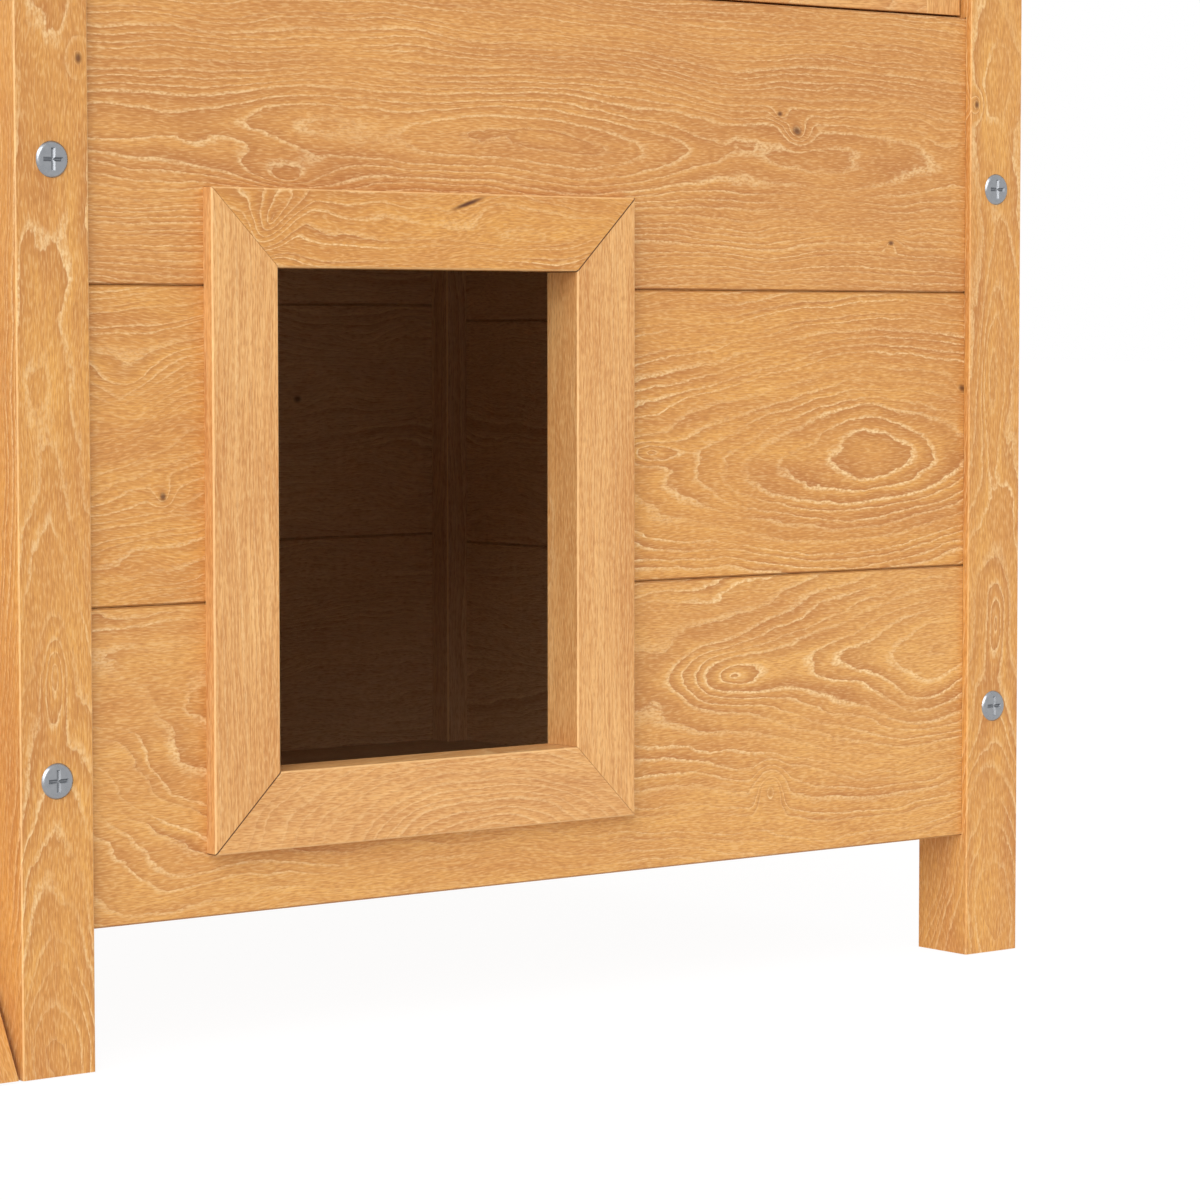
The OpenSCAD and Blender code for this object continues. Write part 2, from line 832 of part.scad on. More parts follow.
module turn_button()
    color(steel_color) on_wall("front") button_place()
        translate([0, 0, seat_gap])
            difference() {
                r = button_w / 2;
                union() {
                    cylinder(r = r, h = button_t);
                    translate([button_reach - r, 0, 0]) cylinder(r = r, h = button_t);
                    translate([0, -r, 0]) cube([button_reach - r, button_w, button_t]);
                }
                translate([0, 0, -1])
                    cylinder(r = shank_d / 2 + shank_fit, h = button_t + 2);
            }

module button_screw()
    color(steel_color) on_wall("front") button_place()
        translate([0, 0, 2 * seat_gap + button_t])
            rotate([180, 0, 0]) pan_screw(button_screw_l);

// Roof

// The roof's own frame: x across, y down the slope from the front posts, z above the panel
module on_roof()
    translate([house_x, front_face, front_top]) rotate([-roof_slope, 0, 0]) children();

// A slab of the roof, cut upright at the front and the back
module roof_slab(side, ends, low, high)
    intersection() {
        on_roof()
            translate([-house_w / 2 - side, -house_d, low])
                cube([house_w + 2 * side, 3 * house_d, high - low]);
        translate([-big / 2, front_face - ends, 0])
            cube([big, house_d + 2 * ends, big]);
    }

module roof_panel()
    color(wood_color) roof_slab(overhang, overhang, 0, roof_t);

module roof_front_strip()
    color(wood_color) intersection() {
        roof_slab(overhang - rim_in, overhang - rim_in, -rim_h, 0);
        translate([-big / 2, front_face - overhang + rim_in, 0]) cube([big, rim_w, big]);
    }

module roof_side_strips()
    color(wood_color) difference() {
        roof_slab(overhang - rim_in, overhang - rim_in, -rim_h, 0);
        roof_slab(overhang - rim_in - rim_w, overhang + 1, -rim_h - 1, 1);
        translate([-big / 2, front_face - overhang - 1, 0])
            cube([big, rim_in + rim_w + 1, big]);
    }

module roof_shingles() {
    run = (house_d + 2 * overhang + 2 * drip) / cos(roof_slope);
    step = run / course_count;
    start = -(overhang + drip) / cos(roof_slope);
    spare = 5;
    color("#4A4B4E") intersection() {
        on_roof()
            translate([-house_w / 2 - overhang - drip, start - spare, roof_t])
                rotate([90, 0, 90])
                    linear_extrude(house_w + 2 * (overhang + drip))
                        polygon(concat([[run + 4 * spare, 0], [0, 0], [0, shingle_thin]],
                            [for (i = [0 : course_count - 1]) each [
                                [spare + i * step, shingle_thin],
                                [spare + (i + 1) * step - 1, shingle_t],
                                [spare + (i + 1) * step, shingle_thin]]],
                            [[run + 4 * spare, shingle_thin]]));
        translate([-big / 2, front_face - overhang - drip, 0])
            cube([big, house_d + 2 * (overhang + drip), big]);
    }
}

// Roof stay: the arm is as long as the distance between its pivot and the roof's hinge pin,
// so its end pin stays on one straight line of the roof and turns twice as far as the roof.

// The hinge pin's frame: y forwards along the closed stay, z up, at the stay's place
module stay_frame(inset)
    translate([stay_wall_x - inset, roof_pin_y, roof_pin_z])
        rotate([-stay_angle, 0, 0]) mirror([0, 1, 0]) children();

module along_x() rotate([0, 90, 0]) children();

module stay_bolt_bore()
    stay_frame(0) translate([-1, stay_l, 0])
        along_x() cylinder(r = stay_pin_r, h = board_t - 3);

module stay_bolt()
    color(steel_color) stay_frame(bolt_head_in) translate([0, stay_l, 0]) {
        along_x() cylinder(r = stay_pin_r, h = bolt_head_in);
        along_x() cylinder(r = stay_pin_r - stay_fit, h = bolt_head_in + board_t - 5);
        along_x() cylinder(r = arm_w * 0.4, h = washer_t);
        translate([bolt_head_in - washer_t, 0, 0]) along_x() cylinder(r = arm_w / 2, h = washer_t);
    }

module stay_arm() {
    pin_out = plate_inset - arm_inset + metal_gap;
    thick = arm_t - 4 * touch_gap;
    color(steel_color) stay_frame(arm_inset) {
        translate([2 * touch_gap, 0, 0]) difference() {
            union() {
                for (y = [stay_l, slot_far])
                    translate([0, y, 0]) along_x() cylinder(r = arm_w / 2, h = thick);
                translate([0, stay_l, -arm_w / 2]) cube([thick, stay_l, arm_w]);
            }
            translate([-1, stay_l, 0])
                along_x() cylinder(r = stay_pin_r + stay_fit, h = arm_t + 2);
        }
        translate([-pin_out, slot_far, 0]) along_x() cylinder(r = stay_pin_r, h = pin_out + metal_gap);
    }
}

// The slotted plate hangs below the roof panel on its flange and its slot points at the hinge pin
module stay_plate()
    color(steel_color) difference() {
        margin = arm_w * 0.6;
        union() {
            stay_frame(plate_inset)
                translate([0, slot_near - margin, -margin])
                    cube([arm_t, slot_far - slot_near + 2 * margin, margin + stay_l]);
            intersection() {
                stay_frame(plate_inset)
                    translate([-flange_w, slot_near - margin, 0])
                        cube([flange_w + arm_t, slot_far - slot_near + 2 * margin, stay_l]);
                roof_space(arm_t);
            }
        }
        stay_frame(plate_inset) {
            for (y = [slot_near, slot_far])
                translate([-1, y, 0])
                    along_x() cylinder(r = stay_pin_r + stay_fit, h = arm_t + 2);
            translate([-1, slot_near, -stay_pin_r - stay_fit])
                cube([arm_t + 2, slot_far - slot_near, 2 * (stay_pin_r + stay_fit)]);
        }
        roof_space(0);
    }

// Landing

module landing_slats()
    color(frame_color) {
        wide = (walk_w + leg - (slat_count - 1) * slat_gap) / slat_count;
        for (i = [0 : slat_count - 1])
            translate([walk_x - leg + i * (wide + slat_gap), ridge_y + ramp_gap / 2,
                    storey_z - slat_t])
                bar([wide, landing_l, slat_t], "y");
    }

leg_front = ridge_y + ramp_gap / 2;
leg_back = house_d / 2 - leg;
joist_z = storey_z - slat_t - joist_h;

module landing_legs()
    color(wood_color)
        for (y = [leg_front, leg_back])
            translate([walk_x - leg, y, 0]) bar([leg, leg, storey_z - slat_t], "z");

module landing_joists()
    color(wood_color) {
        translate([walk_x, leg_front + (leg - joist_w) / 2, joist_z])
            bar([left_face + side_recess - walk_x, joist_w, joist_h], "x");
        translate([walk_x, leg_back + (leg - joist_w) / 2, joist_z])
            bar([left_face - walk_x, joist_w, joist_h], "x");
    }

module landing_rail_posts()
    color(wood_color)
        for (y = [leg_front, leg_back])
            translate([walk_x - leg, y, storey_z]) bar([leg, leg, rail_h], "z");

module landing_balusters()
    color(frame_color) {
        side_run = leg_back - leg_front;
        for (i = [1 : side_balusters])
            translate([walk_x - leg / 2 - baluster / 2,
                    leg_front + leg / 2 + i * side_run / (side_balusters + 1) - baluster / 2,
                    storey_z])
                bar([baluster, baluster, rail_h], "z");
        back_run = left_face - walk_x;
        for (i = [1 : back_balusters])
            translate([walk_x + i * back_run / (back_balusters + 1) - baluster / 2,
                    leg_back + (leg - baluster) / 2, storey_z])
                bar([baluster, baluster, rail_h], "z");
    }

module landing_rails()
    color(frame_color) {
        translate([walk_x - leg, leg_front, storey_z + rail_h])
            bar([leg, landing_l, rail_t], "y");
        translate([walk_x + wood_fit, leg_back, storey_z + rail_h])
            bar([left_face - walk_x - wood_fit, leg, rail_t], "x");
    }

// Ramp: its frame has y up the slope and z out of the tread face, from the ground line

module on_ramp()
    translate([walk_x + ramp_less, front_face - ramp_front, 0])
        rotate([ramp_slope, 0, 0]) children();

module ramp_board()
    color(frame_color) difference() {
        on_ramp()
            translate([0, -ramp_t, -ramp_t])
                bar([walk_w - ramp_less, storey_z / sin(ramp_slope) + 3 * ramp_t, ramp_t], "y");
        translate([-big / 2, -big / 2, ramp_gap / 2 - big]) cube([big, big, big]);
        translate([-big / 2, ridge_y - ramp_gap / 2, 0]) cube([big, big, big]);
    }

module ramp_treads() {
    run = storey_z / sin(ramp_slope) - plate_w - tread_w;
    color(frame_color) on_ramp()
        for (i = [1 : floor(run / tread_pitch)])
            translate([tread_in, i * tread_pitch - tread_w / 2, 0])
                bar([walk_w - ramp_less - 2 * tread_in, tread_w, tread_t], "x");
}

front_post(-1);  // front_left_post
front_post(1);  // front_right_post
back_post(-1);  // back_left_post
back_post(1);  // back_right_post
front_bottom_board();
front_middle_board(false);  // front_middle_board_left
front_middle_board(true);  // front_middle_board_right
front_top_board();
doorway_trim(270);  // doorway_trim_left
doorway_trim(90);  // doorway_trim_right
doorway_trim(180);  // doorway_trim_top
doorway_trim(0);  // doorway_trim_bottom
front_head_rail();
back_boards();
right_boards();
left_boards();
left_entry_boards();
entry_trim(90);  // entry_trim_front
entry_trim(270);  // entry_trim_back
entry_trim(180);  // entry_trim_top
entry_trim(0);  // entry_trim_bottom
floor_panel(lower_floor_top);  // lower_floor
floor_panel(upper_floor_top);  // upper_floor
floor_cleats();
post_screws();
fixed_hinge_leaves();
hinge_pins();
stay_bolt();
landing_slats();
landing_joists();
landing_legs();
landing_rail_posts();
landing_balusters();
landing_rails();
turn_button();
button_screw();
window_hinge_stile(-1);  // left_window_hinge_stile
window_meeting_stile(-1);  // left_window_meeting_stile
window_top_rail(-1);  // left_window_top_rail
window_bottom_rail(-1);  // left_window_bottom_rail
window_pane(-1);  // left_window_pane
window_hinge_leaves(-1);  // left_window_hinge_leaves
window_knob(-1);  // left_window_knob
window_hinge_stile(1);  // right_window_hinge_stile
window_meeting_stile(1);  // right_window_meeting_stile
window_top_rail(1);  // right_window_top_rail
window_bottom_rail(1);  // right_window_bottom_rail
window_pane(1);  // right_window_pane
window_hinge_leaves(1);  // right_window_hinge_leaves
window_knob(1);  // right_window_knob
roof_panel();
roof_front_strip();
roof_side_strips();
roof_shingles();
roof_hinge_leaves();
stay_plate();
stay_arm();
ramp_board();
ramp_treads();
ramp_hinge_leaves();
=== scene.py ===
# %% [markdown]
# An outdoor cat house of honey-stained oak, seen close to its ground-floor doorway.
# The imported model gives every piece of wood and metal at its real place. This lesson
# dresses it: wood that has growth rings in it as a log has, zinc-plated screws and
# hinges, clear window panes and an asphalt shingle roof.

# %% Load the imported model
import math
from random import Random

import bpy
from mathutils import Matrix, Vector


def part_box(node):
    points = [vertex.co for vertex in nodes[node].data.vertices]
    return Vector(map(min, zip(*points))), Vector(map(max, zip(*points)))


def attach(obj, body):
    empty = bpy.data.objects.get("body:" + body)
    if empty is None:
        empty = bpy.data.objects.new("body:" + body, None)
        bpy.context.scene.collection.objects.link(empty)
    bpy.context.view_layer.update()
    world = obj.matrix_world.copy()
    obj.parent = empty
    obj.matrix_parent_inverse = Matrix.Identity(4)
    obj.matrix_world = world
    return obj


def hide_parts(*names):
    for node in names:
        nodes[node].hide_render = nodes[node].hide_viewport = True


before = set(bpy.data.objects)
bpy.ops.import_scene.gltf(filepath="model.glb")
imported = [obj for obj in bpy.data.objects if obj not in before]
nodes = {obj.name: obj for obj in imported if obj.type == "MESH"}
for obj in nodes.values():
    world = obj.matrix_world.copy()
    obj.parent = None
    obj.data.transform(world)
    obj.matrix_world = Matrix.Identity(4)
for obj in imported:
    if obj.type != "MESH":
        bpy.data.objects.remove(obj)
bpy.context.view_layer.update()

# %% [markdown]
# The camera stands 1.6 m from the doorway, to its left and 27 cm above the ground, and
# looks down by not quite four degrees. Its long lens keeps the upright edges nearly
# parallel. Its place was found by fitting a pinhole camera to the boards and posts.

# %% Camera
LOOK_DOWN = 0.064725  # radians below the horizon
HEADING = 0.897879  # radians from the x axis
camera_data = bpy.data.cameras.new("photo_camera")
camera_data.sensor_width = 36.0
camera_data.lens = 118.51
camera_data.shift_y = -0.0063
camera_data.clip_end = 50.0
camera = bpy.data.objects.new("photo_camera", camera_data)
bpy.context.scene.collection.objects.link(camera)
camera.location = (-0.92741, -1.46726, 0.27375)
camera.rotation_euler = (math.radians(90) - LOOK_DOWN, 0.0, HEADING - math.radians(90))
bpy.context.scene.camera = camera
print("camera:", [round(v, 3) for v in camera.location])

# %% [markdown]
# Every material is built from shader nodes. One helper adds a node, sets its options and
# fills its inputs, either with a plain value or with a link from another node. Colours
# are written as the hex codes that a painter would pick on a screen, and one function
# turns them to the linear values that the shader needs.

# %% Helpers for materials
MATH, VECTOR = "ShaderNodeMath", "ShaderNodeVectorMath"


def add(tree, kind, inputs=None, **settings):
    node = tree.nodes.new(kind)
    for name, value in settings.items():
        setattr(node, name, value)
    for key, value in (inputs or {}).items():
        if isinstance(value, bpy.types.NodeSocket):
            tree.links.new(value, node.inputs[key])
        else:
            node.inputs[key].default_value = value
    return node


def linear(code):
    parts = [int(code[i:i + 2], 16) / 255 for i in (1, 3, 5)]
    return [p / 12.92 if p <= 0.04045 else ((p + 0.055) / 1.055) ** 2.4 for p in parts] + [1.0]


def new_material(name):
    material = bpy.data.materials.new(name)
    material.use_nodes = True
    return material, material.node_tree, material.node_tree.nodes["Principled BSDF"]


print("mid oak in linear light:", [round(v, 3) for v in linear("#DCA162")])

# %% [markdown]
# The wood is ring-porous oak under a honey-coloured stain. Every year the tree lays down
# a band of large pores, which the finish fills with pale grain, and then dense darker
# wood. A board is a slice through those rings, so the figure comes from one idea: the
# distance of each point from the log's heart, which runs slightly askew through the
# board. Where the heart comes near the surface the rings close into loops, and further
# off they run out as long arches. The same sum gives straight lines on the edges and
# arcs on the sawn ends, so nothing has to be matched by hand at the corners. The cells
# below build that idea step by step, and all their sizes are in millimetres.

# %% Directions of the grain
# Rows give the directions along the grain, across the board and through its thickness.
ALONG_X = ((1, 0, 0), (0, 0, 1), (0, -1, 0))
ALONG_Y = ((0, 1, 0), (0, 0, 1), (1, 0, 0))
ALONG_Z = ((0, 0, 1), (1, 0, 0), (0, 1, 0))
FLAT_ALONG_X = ((1, 0, 0), (0, 1, 0), (0, 0, 1))
FLAT_ALONG_Y = ((0, 1, 0), (-1, 0, 0), (0, 0, 1))
FAR = 10000.0  # longer than any board


def board_place(tree, rows):
    return add(tree, "ShaderNodeMapping", {
        "Vector": add(tree, "ShaderNodeTexCoord").outputs["Object"],
        "Rotation": Matrix(rows).to_euler("XYZ"), "Scale": (1000, 1000, 1000)}).outputs[0]


def turned_place(tree, place, other_rows, axis, limit):
    # Rails that run two ways share a node: past the limit on one axis the other rows hold
    xyz = add(tree, "ShaderNodeSeparateXYZ", {
        0: add(tree, "ShaderNodeTexCoord").outputs["Object"]})
    size = add(tree, MATH, {0: xyz.outputs[axis]}, operation="ABSOLUTE")
    where = add(tree, MATH, {0: size.outputs[0], 1: limit}, operation="GREATER_THAN")
    other = board_place(tree, other_rows)
    return add(tree, "ShaderNodeMix", {0: where.outputs[0], 4: place, 5: other},
               data_type="VECTOR").outputs[1]


print("grain directions ready")

# %% Each board is cut from its own part of a log
# The seams' pitch counts the boards, and a random number for each count shifts the place
# in the log. A pitch of FAR means that there is only one board that way.
HALF = (0.5, 0.5, 0.5)
LOG = (900, 900, 900)  # how far apart two boards may lie in the log


def cut_from_log(tree, place, start, pitch, heart, jitter, seed):
    first = [s if p < FAR else -FAR / 2 for s, p in zip(start, pitch)]
    moved = add(tree, VECTOR, {0: place, 1: first}, operation="SUBTRACT")
    counted = add(tree, VECTOR, {0: moved.outputs[0], 1: pitch}, operation="DIVIDE")
    part = add(tree, VECTOR, {0: counted.outputs[0]}, operation="FRACTION")
    middle = add(tree, VECTOR, {0: part.outputs[0], 1: HALF}, operation="SUBTRACT")
    inside = add(tree, VECTOR, {0: middle.outputs[0], 1: pitch}, operation="MULTIPLY")
    board = add(tree, VECTOR, {0: counted.outputs[0]}, operation="FLOOR")
    tag = add(tree, VECTOR, {0: board.outputs[0], 1: (seed, seed, seed)}, operation="ADD")
    chance = add(tree, "ShaderNodeTexWhiteNoise", {"Vector": tag.outputs[0]},
                 noise_dimensions="3D").outputs["Color"]
    about = add(tree, VECTOR, {0: chance, 1: HALF}, operation="SUBTRACT")
    shift = add(tree, VECTOR, {0: about.outputs[0], 1: jitter, 2: [-h for h in heart]},
                operation="MULTIPLY_ADD")
    from_heart = add(tree, VECTOR, {0: inside.outputs[0], 1: shift.outputs[0]}, operation="ADD")
    own = add(tree, VECTOR, {0: chance, 1: LOG, 2: place}, operation="MULTIPLY_ADD")
    return from_heart.outputs[0], own.outputs[0]


print("a log holds boards from", LOG, "mm")


# %% Slow bends of the tree
# A noise is stretched to real sizes by dividing the place by them.
BEND = (85, 40, 40)  # along, across and through


def per_mm(sizes):
    return [1 / size for size in sizes]


def slow_bend(tree, own):
    slow = add(tree, VECTOR, {0: own, 1: per_mm(BEND)}, operation="MULTIPLY")
    bend = add(tree, "ShaderNodeTexNoise", {
        "Vector": slow.outputs[0], "Scale": 1.0, "Detail": 2.0, "Roughness": 0.5})
    return add(tree, VECTOR, {0: bend.outputs["Color"], 1: HALF}, operation="SUBTRACT").outputs[0]


print("bends of the tree:", BEND, "mm")


# %% Distance from the heart of the log
# The heart runs askew near the eye and levels out away from it. A small wobble roughens
# the rings.
WOBBLE = (24, 11, 11)


def heart_distance(tree, grown, own, depth, slope, lean, reach, ripple):
    xyz = add(tree, "ShaderNodeSeparateXYZ", {0: grown})
    far_off = add(tree, MATH, {0: xyz.outputs[0]}, operation="ABSOLUTE")
    far_off = add(tree, MATH, {0: far_off.outputs[0], 1: 1 / reach, 2: 1.0},
                  operation="MULTIPLY_ADD")
    nearer = add(tree, MATH, {0: xyz.outputs[0], 1: far_off.outputs[0]}, operation="DIVIDE")
    level = add(tree, "ShaderNodeCombineXYZ", {
        0: nearer.outputs[0], 1: xyz.outputs[1], 2: xyz.outputs[2]}).outputs[0]
    across = add(tree, VECTOR, {0: level, 1: (lean, 1, 0)}, operation="DOT_PRODUCT")
    through = add(tree, VECTOR, {0: level, 1: (slope, 0, 1)}, operation="DOT_PRODUCT")
    pair = add(tree, "ShaderNodeCombineXYZ", {
        0: across.outputs["Value"], 1: through.outputs["Value"], 2: depth})
    radius = add(tree, VECTOR, {0: pair.outputs[0]}, operation="LENGTH").outputs["Value"]
    quick = add(tree, VECTOR, {0: own, 1: per_mm(WOBBLE)}, operation="MULTIPLY")
    quick = add(tree, "ShaderNodeTexNoise", {
        "Vector": quick.outputs[0], "Scale": 1.0, "Detail": 3.0, "Roughness": 0.7})
    quick = add(tree, MATH, {0: quick.outputs[0], 1: 0.5}, operation="SUBTRACT").outputs[0]
    return add(tree, MATH, {0: quick, 1: ripple, 2: radius}, operation="MULTIPLY_ADD").outputs[0]


print("wobble of the rings:", WOBBLE, "mm")


# %% Swirls round branches
# The rings swell where a branch was, and a knot shows the branch's own dark end. Each
# swirl gives its centre, half size, turn in degrees, rise in millimetres and darkness.
KNOT = (0.04, 0.26)  # shares of the swirl's half size: dark inside the first, clear past the last


def swirl_round_branches(tree, place, radius, swirls):
    knots = None
    for centre, size, turn, rise, dark in swirls:
        away = add(tree, "ShaderNodeMapping", {
            "Vector": place, "Location": centre, "Scale": size,
            "Rotation": (0, 0, math.radians(turn))}, vector_type="TEXTURE")
        away = add(tree, VECTOR, {0: away.outputs[0]}, operation="LENGTH").outputs["Value"]
        swell = add(tree, "ShaderNodeMapRange", {0: away, 1: 0.0, 2: 1.0, 3: 1.0, 4: 0.0})
        swell = add(tree, MATH, {0: swell.outputs[0], 1: 1.5}, operation="POWER").outputs[0]
        radius = add(tree, MATH, {0: swell, 1: rise, 2: radius}, operation="MULTIPLY_ADD")
        radius = radius.outputs[0]
        if dark:
            core = add(tree, "ShaderNodeMapRange", {
                0: away, 1: KNOT[0], 2: KNOT[1], 3: dark, 4: 0.0},
                interpolation_type="SMOOTHSTEP").outputs[0]
            knots = core if knots is None else add(
                tree, MATH, {0: core, 1: knots}, operation="MAXIMUM").outputs[0]
    return radius, knots


print("knots are dark inside", KNOT[0], "and clear past", KNOT[1])


# %% One ring a year
# Red holds the band of pale pores that opens a year, green the dense wood that ends it.
# Years are uneven in width, and some stand out more than others.
SEASONS = ((0.0, (1, 0.4, 0, 1)), (0.07, (1, 0, 0, 1)), (0.26, (0, 0, 0, 1)), (0.4, (0, 0, 0, 1)),
           (0.9, (0, 0.8, 0, 1)), (0.96, (0.1, 1, 0, 1)), (1.0, (1, 0.4, 0, 1)))


def growth_rings(tree, radius, ring):
    years = add(tree, MATH, {0: radius, 1: ring}, operation="DIVIDE").outputs[0]
    uneven = add(tree, "ShaderNodeTexNoise", {"W": years, "Scale": 0.45, "Detail": 1.0},
                 noise_dimensions="1D")
    years = add(tree, MATH, {0: uneven.outputs[0], 1: 1.6, 2: years}, operation="MULTIPLY_ADD")
    season = add(tree, MATH, {0: years.outputs[0]}, operation="FRACT").outputs[0]
    year = add(tree, MATH, {0: years.outputs[0]}, operation="FLOOR").outputs[0]
    chance = add(tree, "ShaderNodeTexWhiteNoise", {"W": year}, noise_dimensions="1D")
    strength = add(tree, "ShaderNodeMapRange", {
        0: chance.outputs["Value"], 1: 0.0, 2: 0.6, 3: 0.35, 4: 1.0}).outputs[0]
    bands = add(tree, "ShaderNodeValToRGB", {0: season})
    stops = bands.color_ramp.elements
    for at, colour in SEASONS:
        stop = stops[0] if at == 0.0 else stops[-1] if at == 1.0 else stops.new(at)
        stop.color = colour
    bands = add(tree, "ShaderNodeSeparateColor", {0: bands.outputs[0]})
    return bands.outputs[0], bands.outputs[1], strength


print("stops in a year:", len(SEASONS))


# %% Filled pores and dense wood
# The pale line is a string of filled pores, each about 1 mm wide and 1.5 mm long. Both
# lines fade in patches, because the stain lies thicker there.
BEAD, PATCH = (1.6, 0.9, 0.9), (75, 30, 30)


def ring_lines(tree, own, porous, dense, strength, lines):
    fine = add(tree, VECTOR, {0: own, 1: per_mm(BEAD)}, operation="MULTIPLY")
    beads = add(tree, "ShaderNodeTexNoise", {
        "Vector": fine.outputs[0], "Scale": 1.0, "Detail": 1.0})
    beads = add(tree, "ShaderNodeMapRange", {0: beads.outputs[0], 1: 0.38, 2: 0.6, 3: 0.25, 4: 1.0})
    patch = add(tree, VECTOR, {0: own, 1: per_mm(PATCH)}, operation="MULTIPLY")
    patch = add(tree, "ShaderNodeTexNoise", {
        "Vector": patch.outputs[0], "Scale": 1.0, "Detail": 2.0})
    clear = add(tree, "ShaderNodeMapRange", {
        0: patch.outputs[0], 1: 0.36, 2: 0.62, 3: 0.15, 4: lines})
    pale = add(tree, MATH, {0: porous, 1: beads.outputs[0]}, operation="MULTIPLY")
    pale = add(tree, MATH, {0: pale.outputs[0], 1: clear.outputs[0]}, operation="MULTIPLY")
    pale = add(tree, MATH, {0: pale.outputs[0], 1: strength}, operation="MULTIPLY")
    dense = add(tree, MATH, {0: dense, 1: clear.outputs[0]}, operation="MULTIPLY")
    dense = add(tree, MATH, {0: dense.outputs[0], 1: strength}, operation="MULTIPLY")
    return pale.outputs[0], dense.outputs[0]


print("filled pores:", BEAD, "mm, patches:", PATCH, "mm")


# %% Fibres and short pores between the rings
SHORT = (3, 0.55, 0.55)


def fibres_and_pores(tree, swept, long, wide):
    thin = add(tree, VECTOR, {0: swept, 1: per_mm((long, wide, wide))}, operation="MULTIPLY")
    fibre = add(tree, "ShaderNodeTexNoise", {
        "Vector": thin.outputs[0], "Scale": 1.0, "Detail": 3.0, "Roughness": 0.6})
    fibre = add(tree, "ShaderNodeMapRange", {0: fibre.outputs[0], 1: 0.4, 2: 0.64, 3: 0.0, 4: 1.0})
    short = add(tree, VECTOR, {0: swept, 1: per_mm(SHORT)}, operation="MULTIPLY")
    pores = add(tree, "ShaderNodeTexNoise", {
        "Vector": short.outputs[0], "Scale": 1.0, "Detail": 0.0}).outputs[0]
    pits = add(tree, "ShaderNodeMapRange", {0: pores, 1: 0.42, 2: 0.3, 3: 0.0, 4: 1.0})
    pores = add(tree, "ShaderNodeMapRange", {0: pores, 1: 0.56, 2: 0.7, 3: 0.0, 4: 1.0})
    return fibre.outputs[0], pits.outputs[0], pores.outputs[0]


print("short pores:", SHORT, "mm")


# %% Broad drifts of warm and yellow wood
DRIFT = (90, 16, 16)


def drifting_stain(tree, swept, stain):
    drift = add(tree, VECTOR, {0: swept, 1: per_mm(DRIFT)}, operation="MULTIPLY")
    drift = add(tree, "ShaderNodeTexNoise", {
        "Vector": drift.outputs[0], "Scale": 1.0, "Detail": 3.0, "Roughness": 0.6})
    drift = add(tree, "ShaderNodeMapRange", {0: drift.outputs[0], 1: 0.32, 2: 0.68, 3: 0.0, 4: 1.0})
    return add(tree, "ShaderNodeMix", {
        0: drift.outputs[0], 6: linear(stain[0]), 7: linear(stain[1])}, data_type="RGBA").outputs[2]


print("drifts of the stain:", DRIFT, "mm")

# %% Edges, inner faces and mitres
# A rounded edge lies askew to all three directions, the inside of the house is a box, and
# a mitre is a plane at 45 degrees. So each of them is found from place or direction. The
# edges get a painted highlight, or painted shade where they form seams. The inner faces are
# painted paler to lift their shade, and a mitre gets a dark line of painted shade.
# The dark mitre line is painted shade for an opened gap
MITRE_HALF = 0.0004  # metres: half the width of the dark line


def edges(tree):
    facing = add(tree, VECTOR, {0: add(tree, "ShaderNodeTexCoord").outputs["Normal"]},
                 operation="ABSOLUTE")
    facing = add(tree, "ShaderNodeSeparateXYZ", {0: facing.outputs[0]})
    squarely = add(tree, MATH, {0: facing.outputs[0], 1: facing.outputs[1]}, operation="MAXIMUM")
    squarely = add(tree, MATH, {0: squarely.outputs[0], 1: facing.outputs[2]}, operation="MAXIMUM")
    return add(tree, "ShaderNodeMapRange", {
        0: squarely.outputs[0], 1: 0.74, 2: 0.84, 3: 1.0, 4: 0.0}).outputs[0]


def inner_faces(tree, middle, half_size):
    away = add(tree, VECTOR, {0: add(tree, "ShaderNodeTexCoord").outputs["Object"], 1: middle},
               operation="SUBTRACT")
    away = add(tree, VECTOR, {0: away.outputs[0]}, operation="ABSOLUTE")
    away = add(tree, VECTOR, {0: away.outputs[0], 1: half_size}, operation="SUBTRACT")
    xyz = add(tree, "ShaderNodeSeparateXYZ", {0: away.outputs[0]})
    most = add(tree, MATH, {0: xyz.outputs[0], 1: xyz.outputs[1]}, operation="MAXIMUM")
    most = add(tree, MATH, {0: most.outputs[0], 1: xyz.outputs[2]}, operation="MAXIMUM")
    return add(tree, MATH, {0: most.outputs[0], 1: 0.0}, operation="LESS_THAN").outputs[0]


def painted_mitre_shade(tree, mitre):
    off = add(tree, VECTOR, {0: add(tree, "ShaderNodeTexCoord").outputs["Object"], 1: (1, 0, -1)},
              operation="DOT_PRODUCT").outputs["Value"]
    return add(tree, MATH, {0: off, 1: mitre, 2: MITRE_HALF}, operation="COMPARE").outputs[0]


print("half a mitre line:", 1000 * MITRE_HALF, "mm")


# %% Stained oak
HONEY = ("#C98C4C", "#DDA357")
# Painted highlight: pale colour on the rounded edges, where light would catch them
PAINTED_EDGE_HIGHLIGHT = "#F6CE92"


